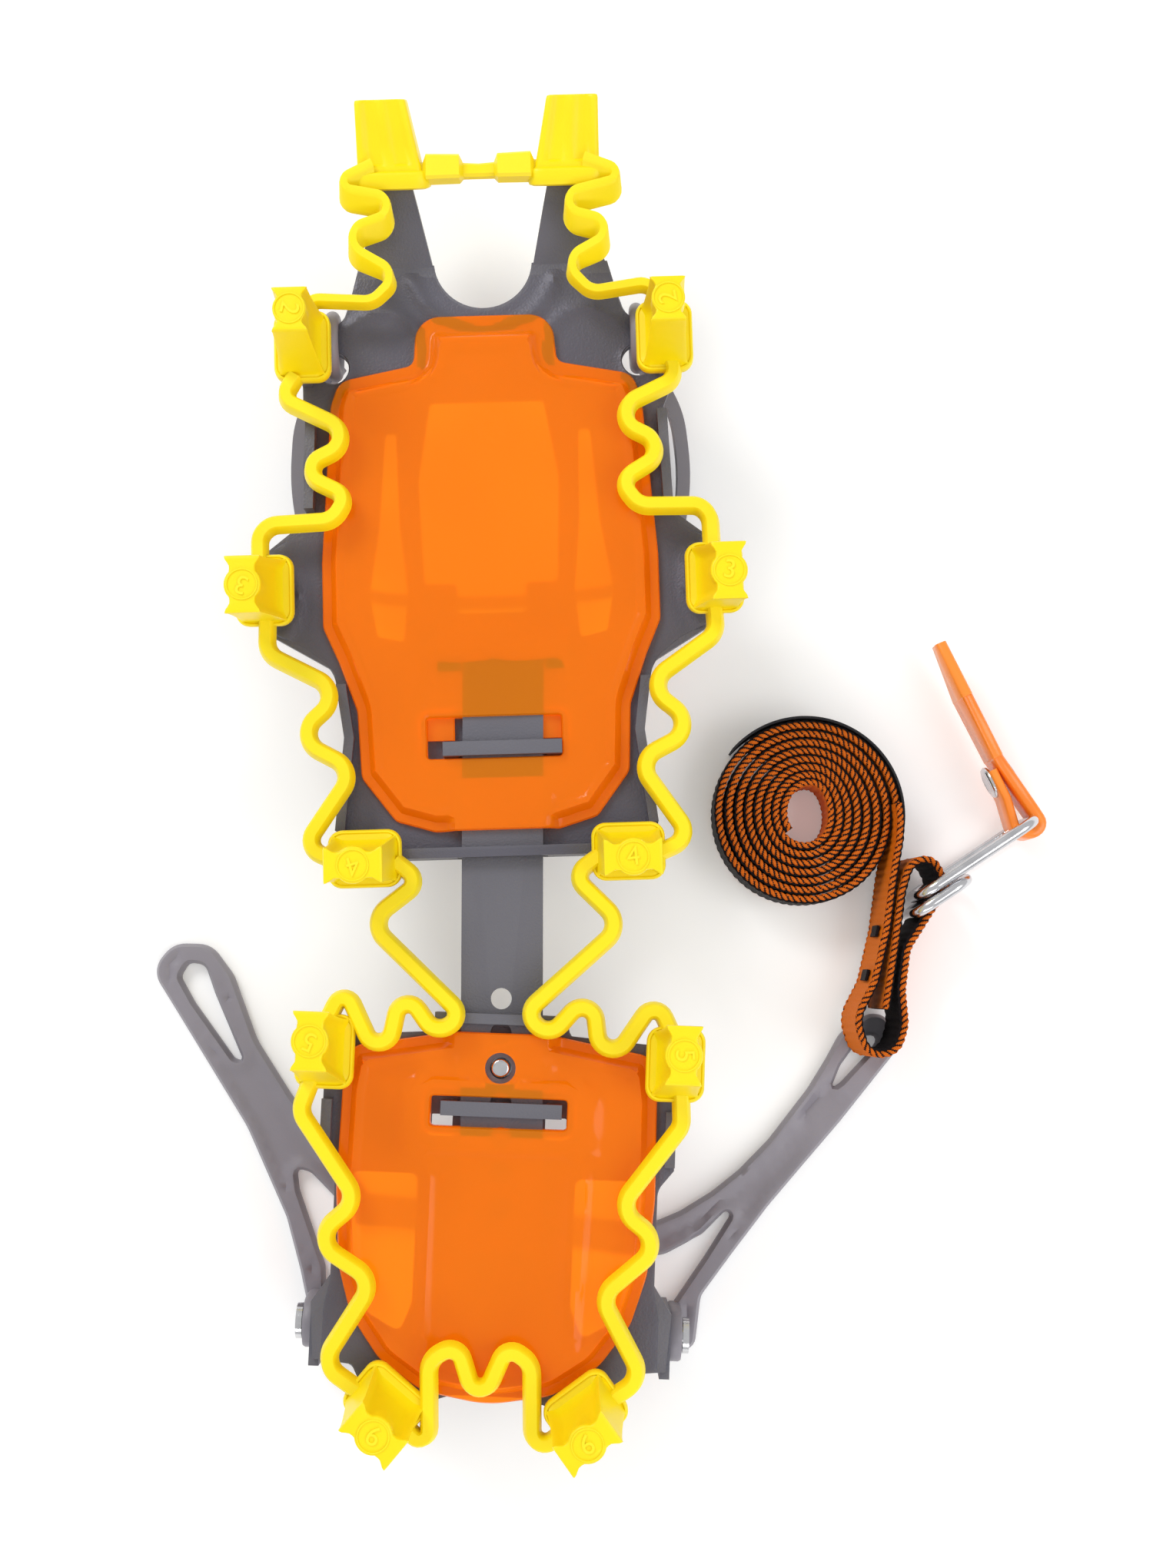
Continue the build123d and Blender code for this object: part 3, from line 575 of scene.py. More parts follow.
def cap_shape(lean_low, lean_high, top_share):
    """A guard cap on its flange: (verts, faces) about its point's foot."""
    base, top = LINK_BOTTOM_MM, CAP_TOP_MM
    rise = top - base

    def ring(points, z):
        share = (z - base) / rise
        du = lean_low[0] + (lean_high[0] - lean_low[0]) * share
        dv = lean_low[1] + (lean_high[1] - lean_low[1]) * share
        return [(x + du, y + dv, z) for x, y in points]

    rings = [
        ring(side_points(5.4, 7.6, 2.0), base + 0.1),
        ring(side_points(6.9, 8.8, 3.4), base),
        ring(side_points(7.35, 9.3, 3.6), base + 0.8),
        ring(side_points(7.35, 9.3, 3.6), base + 2.6),
        ring(side_points(7.1, 9.05, 3.5), base + 3.2),
        ring(side_points(6.7, 8.7, 3.3), base + 3.25),
        ring(side_points(6.4, 8.4, 3.0), base + 2.9),
    ]
    for z, hw, hl, waist, disc in (
        (3.2, 5.9, 8.1, 4.9, 0.0), (4.6, 5.5, 7.85, 4.0, 0.0), (8.0, 5.2, 7.6, 3.5, 0.0),
        (13.0, 4.9, 7.4, 3.3, 2.6), (18.0, 4.6, 7.2, 3.2, 3.6), (22.0, 4.45, 7.1, 3.15, 4.2),
        (25.2, 4.35, 7.1, 3.1, 4.5), (26.2, 4.45, 7.2, 3.2, 4.6),
    ):
        shorter = 1 + (top_share - 1) * z / rise
        rings.append(ring(waisted(hw, hl * shorter, waist, min(disc, hl * shorter - 1.5)), base + z))
    rings.append(ring(waisted(4.3, 7.0 * top_share, 3.05, min(4.4, 7.0 * top_share - 1.3)), top - 0.15))
    rings.append(ring(waisted(4.0, 6.7 * top_share, 2.8, min(4.15, 6.7 * top_share - 1.2)), top))
    rings.append(ring(waisted(3.4, 6.1 * top_share, 2.4, min(3.7, 6.1 * top_share - 1.1)), top + 0.02))
    return tube(rings)


def lean_at(lean, z):
    return tuple(c * (z - SHEET_MM) / (TOOTH_TIP_MM - SHEET_MM) for c in lean)


def digit_shape(number, turn):
    """A raised number in a thin raised ring, flat at z = 0."""
    data = bpy.data.curves.new("digit", "FONT")
    data.body = str(number)
    data.size = 6.6
    data.extrude = DIGIT_RISE_MM
    data.align_x = "CENTER"
    data.align_y = "CENTER"
    holder = bpy.data.objects.new("digit", data)
    bpy.context.scene.collection.objects.link(holder)
    mesh = bpy.data.meshes.new_from_object(holder)
    spin = Matrix.Rotation(radians(turn), 4, "Z")
    verts = [tuple(spin @ v.co) for v in mesh.vertices]
    faces = [tuple(p.vertices) for p in mesh.polygons]
    bpy.data.objects.remove(holder)
    bpy.data.meshes.remove(mesh)
    ring = band(circle_loop(0, 0, 3.75, 40), box_profile(0.35, DIGIT_RISE_MM, 0.08), closed=True)
    return joined([(verts, faces), ring])


# each cap: u, v, turn, lean of its point, number, and the number's turn on the left and on the right
FRONT_POINTS = [
    (47.0, 133.0, 0, (0.0, 2.4), 2, (-105, 100)),
    (57.0, 71.0, 0, (2.4, -4.0), 3, (160, -10)),
    (33.2, 1.3, 90, (0.6, -3.8), 4, (195, 5)),
]
HEEL_POINTS = [
    (43.7, 0.0, 0, (1.0, 4.0), 5, (160, -85)),
    (24.6, -83.4, 52, (0.5, -3.2), 6, (-25, 25)),
]


def point_cap(spec, side):
    """One upright cap with its number, in its half's frame."""
    u, v, turn, lean, number, spins = spec
    spun = radians(side * turn)
    lean_u, lean_v = side * lean[0], lean[1]
    own = (lean_u * cos(spun) - lean_v * sin(spun), lean_u * sin(spun) + lean_v * cos(spun))
    low, high = lean_at(own, LINK_BOTTOM_MM), lean_at(own, CAP_TOP_MM)
    place = Matrix.Translation((side * u, v, 0)) @ Matrix.Rotation(-spun, 4, "Z")
    body = moved(cap_shape(low, high, 0.78 if number == 2 else 1.0), place)
    digit = digit_shape(number, spins[0 if side < 0 else 1])
    spot = place @ Vector((high[0], high[1], CAP_TOP_MM - 0.05))
    return joined([body, moved(digit, Matrix.Translation(spot))])


def prong_cap_shape(side):
    """Cap of a front point: a fluted wedge on a flange, lying along the slope."""
    slope = Matrix.Translation((0, 158.0, 0)) @ Matrix.Rotation(radians(24.0), 4, "X")
    rings = []
    for s, hw, hh, corner, panel in (
        (20.6, 8.4, 5.6, 2.4, 0.0), (21.0, 9.6, 6.7, 3.0, 0.0), (21.8, 9.9, 6.9, 3.0, 0.0),
        (24.4, 9.9, 6.9, 3.0, 0.0), (25.0, 9.6, 6.6, 2.8, 0.0), (25.2, 9.0, 6.2, 2.6, 0.0),
        (25.4, 8.5, 5.7, 1.4, 0.0), (26.6, 8.3, 5.6, 1.2, 0.0), (27.2, 8.2, 5.5, 1.2, 0.8),
        (32.0, 7.7, 5.2, 1.1, 0.9), (37.0, 7.2, 4.9, 1.0, 0.9), (42.2, 6.7, 4.55, 1.0, 0.8),
        (42.9, 6.5, 4.3, 0.9, 0.6), (43.1, 5.9, 3.8, 0.8, 0.4),
    ):
        centre = side * (22.8 + 1.6 * (s - 22.5) / 16.0)
        ring = []
        for x, n in side_points(hw, hh, corner):
            share = abs(x) / hw
            sunk = panel * (1 - step_up(share, 0.62, 0.74)) * (1 - 0.6 * (1 - step_up(share, 0.1, 0.3)))
            n = n - sunk if n > 0.8 * hh else n + sunk if n < -0.8 * hh else n
            ring.append((centre + x, s, 1.3 + n))
        rings.append(ring)
    return moved(tube(rings), slope)


LINK_PROFILE = [(-1.9, 0), (1.9, 0), (2.35, 0.5), (2.2, 1.2), (1.7, 4.3), (1.25, 4.8), (-1.25, 4.8),
                (-1.7, 4.3), (-2.2, 1.2), (-2.35, 0.5)]


RAMP_START_V = 147.0


def link_shape(route, ramp=0.0):
    """A springy link: a drafted band bent to and fro on its edge, laid back where it climbs."""
    smooth = rounded_route(route, 5.2, 0.8)
    heights = LINK_BOTTOM_MM + np.maximum(smooth[:, 1] - RAMP_START_V, 0) * tan(radians(ramp))
    if not ramp:
        return band(smooth, LINK_PROFILE, heights)
    slim = [(a * 0.72, up) for a, up in LINK_PROFILE]
    verts, faces = band(smooth, slim, heights)
    laid = []
    for i, (u, v, z) in enumerate(verts):
        base = heights[i // len(slim)]
        share = float(step_up(v, 146.0, 160.0))
        laid.append((u, v + (0.75 * (z - base) - 1.6) * share, z))
    return laid, faces


FRONT_ROUTES = [
    ([(-49.0, 126.0), (-52.6, 120.0), (-32.0, 109.4), (-49.5, 101.0), (-36.0, 94.0), (-40.0, 87.6),
      (-56.0, 87.0), (-59.0, 84.0), (-59.0, 78.0)], 0.0),
    ([(47.5, 130.0), (50.0, 122.5), (30.5, 113.6), (48.0, 104.2), (34.2, 96.0), (39.0, 89.3),
      (54.5, 89.0), (57.3, 86.0), (57.5, 77.0)], 0.0),
    ([(-57.3, 63.0), (-57.6, 53.5), (-38.0, 43.0), (-51.0, 31.6), (-35.5, 22.9), (-49.0, 3.6),
      (-40.0, -0.5)], 0.0),
    ([(57.4, 63.0), (57.8, 55.5), (39.0, 42.6), (52.5, 31.4), (36.2, 23.2), (49.6, 3.2),
      (40.0, -0.8)], 0.0),
    ([(-27.5, 178.4), (-39.4, 173.0), (-14.6, 168.0), (-39.4, 160.2), (-21.6, 151.2), (-28.6, 145.0),
      (-46.0, 146.2), (-46.5, 138.0)], 7.0),
    ([(27.5, 178.6), (40.4, 173.6), (13.8, 167.6), (38.4, 160.8), (21.2, 153.0), (28.5, 146.0),
      (45.5, 148.2), (46.5, 138.0)], 7.0),
]
HEEL_ROUTES = [
    [(-46.5, -4.0), (-49.8, -14.0), (-34.0, -35.5), (-45.0, -45.4), (-29.0, -55.0), (-41.0, -75.5),
     (-31.0, -82.0)],
    [(45.5, -4.0), (46.2, -14.0), (31.0, -34.9), (42.2, -43.4), (27.4, -56.6), (38.5, -76.0),
     (30.0, -82.0)],
    [(-22.0, -88.0), (-13.5, -95.5), (-14.6, -73.5), (-7.6, -69.5), (-1.8, -85.5), (4.6, -69.5),
     (10.9, -73.5), (12.0, -95.5), (22.0, -88.0)],
]
SPAN_ROUTES = {
    "left": [(-27.0, 36.5), (-20.5, 31.5), (-33.8, 21.2), (-9.4, -2.4), (-16.5, -7.0), (-25.0, 5.0),
             (-29.5, -16.5), (-39.5, 5.0), (-44.0, -4.0)],
    "right": [(25.0, 38.0), (18.0, 33.0), (30.8, 20.5), (5.8, -1.9), (12.2, -7.6), (23.0, 4.2),
              (25.5, -17.5), (39.0, 2.0), (43.5, -8.0)],
}


def toe_tie_shape():
    """The link between the front points: a thin web with two flat lumps."""
    half = [(0, 178.9, 3.6, 3.0), (4.0, 179.0, 3.8, 3.2), (5.0, 179.2, 6.4, 5.4), (13.6, 179.3, 6.8, 5.4),
            (14.5, 179.3, 3.8, 3.6), (16.4, 179.2, 3.6, 3.6)]
    stations = [(-u, v, width, high) for u, v, width, high in half[:0:-1]] + half
    rings = []
    for u, v, width, high in stations:
        rings.append([(u, v + a, 12.2 + up) for a, up in box_profile(width, high, 0.7)])
    return tube(rings)


def build_guard(finish):
    parts = [link_shape(route, ramp) for route, ramp in FRONT_ROUTES]
    for side in (-1, 1):
        parts += [point_cap(spec, side) for spec in FRONT_POINTS]
        parts.append(prong_cap_shape(side))
    parts.append(toe_tie_shape())
    shape = joined(parts)
    make_piece("point_guard_front", shape, FRONT, finish, "front", ["front_guard"])
    parts = [link_shape(route) for route in HEEL_ROUTES]
    for side in (-1, 1):
        parts += [point_cap(spec, side) for spec in HEEL_POINTS]
    shape = joined(parts)
    make_piece("point_guard_heel", shape, HEEL, finish, "heel", ["heel_guard"])
    for side, route in SPAN_ROUTES.items():
        span = link_shape(route)
        piece = make_piece(
            f"guard_span_{side}", span, BENCH, finish, "front", [f"guard_link_{side}"]
        )
        piece.parent = None
        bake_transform(piece)


# ---- Anti-balling plates ----
FRONT_PLATE = both_sides([
    (16.0, 7.0, 3), (26.0, 10.0, 3), (34.6, 21.5, 4), (35.4, 39.0, 8), (40.0, 52.0, 6), (43.9, 61.0, 4),
    (43.9, 78.0, 8), (40.9, 120.0, 6), (38.6, 126.6, 5), (18.9, 130.4, 2.6), (17.9, 143.4, 10),
])
HEEL_PLATE = both_sides([
    (0.0, -85.4, 30), (16.5, -82.6, 16), (27.5, -75.2, 14), (35.2, -64.6, 12), (39.0, -52.0, 12),
    (40.4, -33.0, 16), (40.0, -8.0, 16), (38.4, 2.6, 4), (22.0, 5.4, 8), (12.0, 7.2, 6),
])
FRONT_RIM = rounded_loop(FRONT_PLATE)
HEEL_RIM = rounded_loop(HEEL_PLATE)
PLATE_ROWS = (0.35, 0.9, 1.7, 2.4, 3.2, 4.0, 4.8, 5.8, 6.8, 8.0)
BAR_TOP_MM = 5.9
PLATE_GRID_MM = 1.5
# the bar in each half: its centreline's u at v = 0, u gained per v, and the v where its arch rises and ends
FRONT_BAR = (1.2, 0.03, (-9, -8), (17, 22))
HEEL_BAR = (0.2, -0.038, (-9, -5), (90, 91))


def over_bar(u, v, bar):
    """1 over the linking bar and 0 beside it and past its arch."""
    start_u, gain, low, high = bar
    beside = 1 - step_up(np.abs(u - start_u - gain * v), 11.6, 15.0)
    return beside * step_up(v, *low) * (1 - step_up(v, *high))


def plate_face(u, v, hole, rim_loop, bar, stretch=1.0):
    """Common cross-section of a plate: flat rim, raised lip, a gentle dome and an arch over the bar.

    hole is the distance from the nearest outline, the holes' too, and stretch widens the rim."""
    depth = edge_distance(np.stack([u, v], 1), [rim_loop])
    depth[depth < 1e-4] = 0
    rim = PLATE_BOTTOM_MM + 1.8 - round_edge(hole, 0.5)
    across = depth / stretch
    wall = step_up(across, 2.5, 3.8)
    lip = 0.6 * step_up(across, 3.2, 4.0) * (1 - step_up(across, 5.0, 6.2))
    dome = 0.9 * step_up(depth, 7.0, 30.0)
    flat = rim + wall * 2.3 + lip + dome
    arch = BAR_TOP_MM + 1.9 - round_edge(depth, 0.8)
    return flat + (np.maximum(flat, arch) - flat) * bar, depth


def front_face(u, v, depth):
    stretch = 1 + 0.7 * step_up(v, 121.0, 130.0)
    z, depth = plate_face(u, v, depth, FRONT_RIM, over_bar(u, v, FRONT_BAR), stretch)
    bay = 1 - step_up(np.abs(u), 16.6, 18.2)
    kink = 1.2 * np.exp(-((u / 3.0) ** 2))
    z = z - 0.8 * bay * step_up(v, 30.0, 31.0) * (1 - step_up(v, 50.0 + kink, 51.6 + kink))
    for spot_u, spot_v in ((-30.0, 18.0), (30.0, 18.0), (0.0, 112.0)):
        away = np.hypot(u - spot_u, v - spot_v)
        z = z - 0.3 * np.exp(-(((away - 3.0) / 0.5) ** 2))
    return z


def heel_face(u, v, depth):
    z, depth = plate_face(u, v, depth, HEEL_RIM, over_bar(u, v, HEEL_BAR))
    pad = np.hypot(np.maximum(np.abs(u) - 22.5, 0), np.maximum(np.abs(v + 14.0) - 6.6, 0))
    z = z + 0.9 * (1 - step_up(pad, 2.2, 3.4)) * step_up(depth, 1.0, 3.0)
    for rib_u, far in ((-16.8, -76.0), (22.4, -75.0)):
        u_at = rib_u * (1 - 0.06 * np.clip((-26 - v) / 50, 0, 1))
        run = step_up(v, far, far + 6) * (1 - step_up(v, -30.0, -24.0))
        z = z + 1.3 * np.exp(-((u - u_at) / 1.5) ** 2) * run - 0.9 * np.exp(-((u - u_at) / 4.2) ** 2) * run
    lozenge = np.maximum(np.abs(u) / 3.4, np.abs(v - 4.5) / 1.2)
    return z + 0.3 * (1 - step_up(lozenge, 0.8, 1.1))


def under_of(face, bar):
    """Inside of a plate, a wall thinner than its face, and clear of the bar."""
    def bottom(u, v, depth):
        hollow = face(u, v, np.maximum(depth - 0.2, 0)) - 1.5
        flat = np.maximum(np.where(depth < 2.2, PLATE_BOTTOM_MM, hollow), PLATE_BOTTOM_MM)
        clear = BAR_TOP_MM + 0.3 + 0 * u
        return flat + (np.maximum(flat, clear) - flat) * over_bar(u, v, bar)
    return bottom


def build_plates(finish):
    window = rounded_loop([(-17.4, 25.6), (17.4, 25.6), (17.4, 36.4), (-17.4, 36.4)], 0.8)[::-1]
    under = under_of(front_face, FRONT_BAR)
    shape = relief([FRONT_RIM, window], front_face, under, PLATE_GRID_MM, PLATE_ROWS)
    ledge = box_profile(7.2, 1.6, 0.3)
    for side in (-1, 1):
        rail = band([(side * 13.9, 30.6), (side * 13.9, 36.6)], ledge, [PLATE_BOTTOM_MM + 0.2] * 2)
        shape = joined([shape, rail])
    make_piece("front_antiball_plate", shape, FRONT, finish, "front", ["front_plate"])
    slot = rounded_loop([(-17.3, -16.6), (17.3, -16.6), (17.3, -9.0), (-17.3, -9.0)], 0.8)[::-1]
    loops = [HEEL_RIM, slot, circle_loop(0, -1.6, 3.9)[::-1]]
    shape = relief(loops, heel_face, under_of(heel_face, HEEL_BAR), PLATE_GRID_MM, PLATE_ROWS)
    make_piece("heel_antiball_plate", shape, HEEL, finish, "heel", ["heel_plate"])


# ---- Steel faces ----
def along(u, v, route, width, height):
    """A soft raised rib that follows a route of points."""
    points = np.stack([u, v], 1)
    best = np.full(len(points), 1e9)
    route = np.asarray(route, float)
    for a, b in zip(route, route[1:]):
        run = b - a
        share = np.clip(((points - a) @ run) / (run @ run), 0, 1)
        best = np.minimum(best, np.hypot(*(points - a - share[:, None] * run).T))
    return height * np.exp(-((best / width) ** 2))


def arc_route(u, v, radius_u, radius_v, first, last):
    """Points of an elliptical arc between two angles, in degrees."""
    turns = np.radians(np.linspace(first, last, 24))
    return np.stack([u + radius_u * np.cos(turns), v + radius_v * np.sin(turns)], 1)


FRONT_SHEET = both_sides([
    (40.5, 2.7, 0.5), (41.6, 8.0, 6), (38.8, 32.0, 12), (41.5, 50.0, 9), (49.0, 56.0, 7),
    (58.2, 60.5, 4), (58.2, 81.5, 4), (48.4, 88.0, 7), (46.6, 118.0, 3), (48.2, 122.0, 3),
    (48.2, 141.0, 5), (37.6, 142.5, 5), (35.2, 150.0, 9), (33.0, 158.0, 0.5), (13.0, 158.0, 0.5),
    (12.9, 156.6, 2), (12.0, 153.0, 3), (9.2, 149.0, 4), (5.4, 146.5, 4), (1.6, 145.6, 3),
])
HEEL_SHEET = both_sides([
    (9.0, -83.5, 3), (15.0, -85.5, 5), (22.0, -90.4, 4), (31.5, -83.0, 3), (34.5, -77.0, 3),
    (42.6, -76.0, 1), (42.6, -63.0, 1), (41.0, -55.0, 5), (41.0, -31.0, 6), (44.9, -26.0, 3),
    (44.9, 4.9, 3), (17.5, 6.8, 4), (16.9, 9.0, 0.5),
])


def front_steel_top(u, v, depth):
    side = np.abs(u)
    z = SHEET_MM + 0.12 - round_edge(depth, 0.5)
    z = z + along(side, v, arc_route(0, 159, 19.5, 19.5, -90, -12), 1.4, 0.95)
    z = z + along(side, v, [(19.2, 154), (21.6, 159)], 1.4, 0.8)
    z = z + along(side, v, arc_route(27.0, 134.0, 11.0, 11.5, 40, 200), 1.2, 0.85)
    z = z + along(side, v, [(36.6, 132.0), (37.5, 124.0), (41.0, 118.0)], 1.3, 0.5)
    z = z - (z - SHEET_MM + 0.1) * step_up(v, 152.0, 157.0)
    return z + along(side, v, arc_route(60, 71.0, 9.5, 14.0, 110, 250), 1.3, 0.85)


def heel_steel_top(u, v, depth):
    return SHEET_MM + 0.12 - round_edge(depth, 0.5)


def flat_at(height):
    return lambda u, v, depth: np.full(len(u), height) + round_edge(depth, 0.3)


def hole_pair(points, radius, step=1.6):
    """A hole and its mirror image, as loops that run the way of holes."""
    return [rounded_loop([(side * a, b) for a, b in points], radius, step)[::-side] for side in (-1, 1)]


def build_steel_faces(finish):
    """Thin outer faces of the pressed sheet, with its ribs and rounded corners."""
    under = flat_at(SHEET_MM - 0.9)
    holes = [circle_loop(side * 40.3, 130.7, 4.2)[::-1] for side in (-1, 1)]
    window = both_sides([(9.0, 64.0), (9.0, 72.0), (17.5, 72.0), (18.5, 100.0), (15.0, 121.0)])
    holes.append(rounded_loop(window, 1.5)[::-1])
    holes += hole_pair([
        (23.0, 57.0), (30.0, 58.5), (32.0, 70.0), (29.0, 88.0), (27.0, 113.0), (24.0, 113.0),
        (23.5, 88.0), (21.8, 70.0),
    ], 1.0)
    shape = relief([rounded_loop(FRONT_SHEET, 3.0)] + holes, front_steel_top, under)
    make_piece("front_steel_face", shape, FRONT, finish, "front")
    holes = [circle_loop(0, -1.6, 2.8, 16)[::-1]]
    holes += hole_pair([(11.8, -17.4), (17.2, -17.4), (17.2, -13.9), (11.8, -13.9)], 0.4, 1.0)
    holes += hole_pair([
        (20.0, -61.0), (23.0, -69.0), (31.5, -64.5), (36.3, -50.0), (36.8, -29.0), (20.0, -29.0)
    ], 2.0)
    shape = relief([rounded_loop(HEEL_SHEET, 3.0)] + holes, heel_steel_top, under)
    make_piece("heel_steel_face", shape, HEEL, finish, "heel")


# ---- Heel cradle ----
LEFT_ARM = [
    (-90.6, 16.6, 7), (-80.5, 16.4, 7), (-74.2, 8.0, 9), (-67.6, -9.5, 20), (-58.2, -24.0, 14),
    (-47.5, -38.5, 10), (-39.0, -47.5, 2), (-38.0, -50.2, 0.5), (-37.4, -58.4, 0.5), (-44.8, -52.4, 6),
    (-52.4, -44.8, 4), (-56.4, -43.6, 1.2), (-55.6, -49.5, 4), (-48.4, -69.5, 3), (-47.6, -88.0, 2),
    (-51.0, -88.2, 2), (-54.9, -70.5, 10), (-58.8, -56.6, 12), (-69.8, -32.6, 30), (-90.0, -0.6, 14),
    (-96.4, 9.4, 7),
]
LEFT_EYE = [(-88.6, 7.6, 2), (-86.4, 11.4, 2), (-81.8, 10.8, 3), (-79.0, 3.0, 6), (-71.0, -15.2, 1.0),
            (-73.6, -14.4, 1.5), (-84.6, 0.6, 8)]
RIGHT_ARM = [
    (98.2, -2.4, 4), (101.8, -2.6, 4), (106.6, -7.6, 5), (105.0, -13.0, 6), (100.2, -18.8, 20),
    (90.0, -31.3, 30), (79.9, -42.8, 30), (70.5, -53.6, 30), (60.8, -66.0, 16), (52.2, -77.4, 5),
    (50.4, -91.4, 4), (44.4, -91.6, 3), (44.6, -79.6, 4), (53.4, -67.0, 6), (60.4, -56.2, 1.5),
    (59.2, -54.8, 1.5), (52.8, -61.2, 6), (42.4, -66.6, 8), (34.4, -67.2, 0.5), (34.0, -58.4, 0.5),
    (40.4, -57.9, 6), (46.7, -55.3, 10), (55.3, -50.1, 16), (62.6, -44.4, 20), (70.7, -36.3, 20),
    (81.5, -22.6, 20), (86.4, -14.8, 14), (90.4, -7.6, 8),
]
RIGHT_EYE = [(101.2, -8.2, 2), (96.2, -8.4, 3), (90.2, -16.4, 6), (87.8, -22.8, 1.0), (90.4, -21.0, 2),
             (98.4, -12.6, 4)]


def arm_top(u, v, depth):
    """A flat moulding with a proud rounded outer border."""
    z = GROUND_MM + 3.1 - round_edge(depth, 0.9)
    z = z + 1.0 * (1 - step_up(depth, 2.3, 3.3)) * step_up(depth, 0.2, 1.0)
    for spot_u, spot_v in ((-60.3, -32.5), (-80.6, -8.0), (78.0, -30.0), (66.0, -46.0)):
        away = np.hypot(u - spot_u, v - spot_v)
        z = z - 0.25 * np.exp(-(((away - 2.6) / 0.35) ** 2))
    z = z - along(u, v, [(80.6, -29.6), (89.0, -20.6)], 1.5, 1.4)
    return z - along(u, v, [(50, -63.0), (58, -56.4)], 1.0, 0.9)


def cradle_eye():
    """One upright eye of the cradle, flat: the rivet's bore is at its origin."""
    foot = rounded_loop([
        (-12.8, -6.9, 0.6), (-12.8, 6.9, 0.6), (-3.0, 7.0, 6), (4.0, 6.2, 5), (7.2, 0.0, 6),
        (4.0, -6.2, 5), (-3.0, -7.0, 6),
    ], 4.0)
    return relief(
        [foot[::-1], circle_loop(0, 0, 2.8, 24)[::-1]],
        lambda u, v, depth: 3.4 - round_edge(depth, 0.7),
        lambda u, v, depth: round_edge(depth, 0.7),
        1.4,
    )


def build_cradle(finish):
    floor = GROUND_MM + 0.05
    parts = []
    for arm, eye in ((LEFT_ARM, LEFT_EYE), (RIGHT_ARM, RIGHT_EYE)):
        loops = [rounded_loop(arm, 3.0), rounded_loop(eye, 1.0)[::-1]]
        parts.append(relief(loops, arm_top, flat_at(floor), 1.8))
    back = [(-40.0, -54.2), (-20.0, -56.4), (0.0, -58.2), (18.0, -60.6), (36.0, -62.8)]
    route = rounded_route(back, 30.0, 2.0)
    parts.append(band(route, box_profile(8.4, 3.4, 0.8), np.full(len(route), floor)))
    to_bench = BENCH.inverted() @ HEEL
    flat, faces = cradle_eye()
    start = HEEL_POST_MM + SHEET_MM + 0.3
    rivet_v, rivet_z = HEEL_RIVET_MM
    for side in (-1, 1):
        verts = [(side * (start + z), rivet_v + b, rivet_z + a) for a, b, z in flat]
        parts.append(([tuple(to_bench @ (Vector(p) * MM) / MM) for p in verts], faces))
    shape = joined(parts)
    make_piece("heel_cradle_moulding", shape, BENCH, finish, "cradle", ["heel_cradle"])


# ---- Ankle strap ----
COIL_MM = (80.3, 50.9)
COIL_OUTER_MM = 24.8
COIL_INNER_MM = 6.6
WEB_THICK_MM = 2.05
COIL_TURNS = 7.6
RUN_LIFT_MM = 3.6            # the free run passes over the arm
RUN_LEAN_MM = 2.0


def coil_route():
    """The rolled webbing, from the inner end to where it leaves at the right."""
    turns = np.linspace(0, 1, int(COIL_TURNS * 72))
    angle = radians(6.0) - 2 * pi * COIL_TURNS * (turns - 1)
    radius = COIL_INNER_MM + (COIL_OUTER_MM - COIL_INNER_MM) * turns
    point = np.exp(-((np.mod(angle + radians(108), 2 * pi) - pi) ** 2) / 0.5)
    radius = radius + 1.6 * point * (1 - turns) ** 2
    narrow = 1 - 0.14 * (1 - turns) * np.abs(np.cos(angle))
    x = COIL_MM[0] + radius * np.cos(angle) * narrow
    return np.stack([x, COIL_MM[1] + radius * np.sin(angle)], 1)


LEAD_POINTS = [
    (104.96, 53.5), (105.4, 49.0), (105.0, 43.6), (103.2, 34.0), (101.2, 20.0), (97.8, 6.0),
    (92.8, -3.4), (95.6, -12.8), (103.2, -12.4), (105.4, -5.0), (104.7, 4.0), (106.2, 15.0),
    (112.4, 24.6), (117.2, 31.6), (113.2, 39.0), (107.6, 37.4), (105.4, 30.0), (103.7, 18.0),
    (101.6, 5.0), (100.6, -1.0),
]


def walk(route, step):
    """Evenly spaced points along a route."""
    route = np.asarray(route, float)
    gaps = np.hypot(*np.diff(route, axis=0).T)
    travel = np.concatenate([[0], np.cumsum(gaps)])
    stops = np.linspace(0, travel[-1], int(travel[-1] / step) + 1)
    return np.stack([np.interp(stops, travel, route[:, i]) for i in (0, 1)], 1), stops


def headings(points):
    ahead = np.gradient(points, axis=0)
    return ahead / np.hypot(*ahead.T)[:, None]


def travel_ways(route, step):
    """Even points along a route, their headings and how far along they are."""
    points, stops = walk(route, step)
    return points, headings(points), stops


def braid(route, height, shift):
    """The corded selvedge on an edge of the webbing: two strands laid round each other."""
    rings, marks = [], []
    count = 10
    for (x, y), (dx, dy), s in zip(*travel_ways(route, 0.3)):
        ring = []
        for k in range(count):
            t = 2 * pi * k / count
            lobe = cos(2 * (t - 2 * pi * s / 3.3))
            r = 1 + 0.2 * lobe
            a = cos(t) * r * 0.78 - 0.28
            ring.append((x - dy * a + shift, y + dx * a, height + sin(t) * r * 0.8))
            marks.append(lobe)
        rings.append(ring)
    return tube(rings), marks


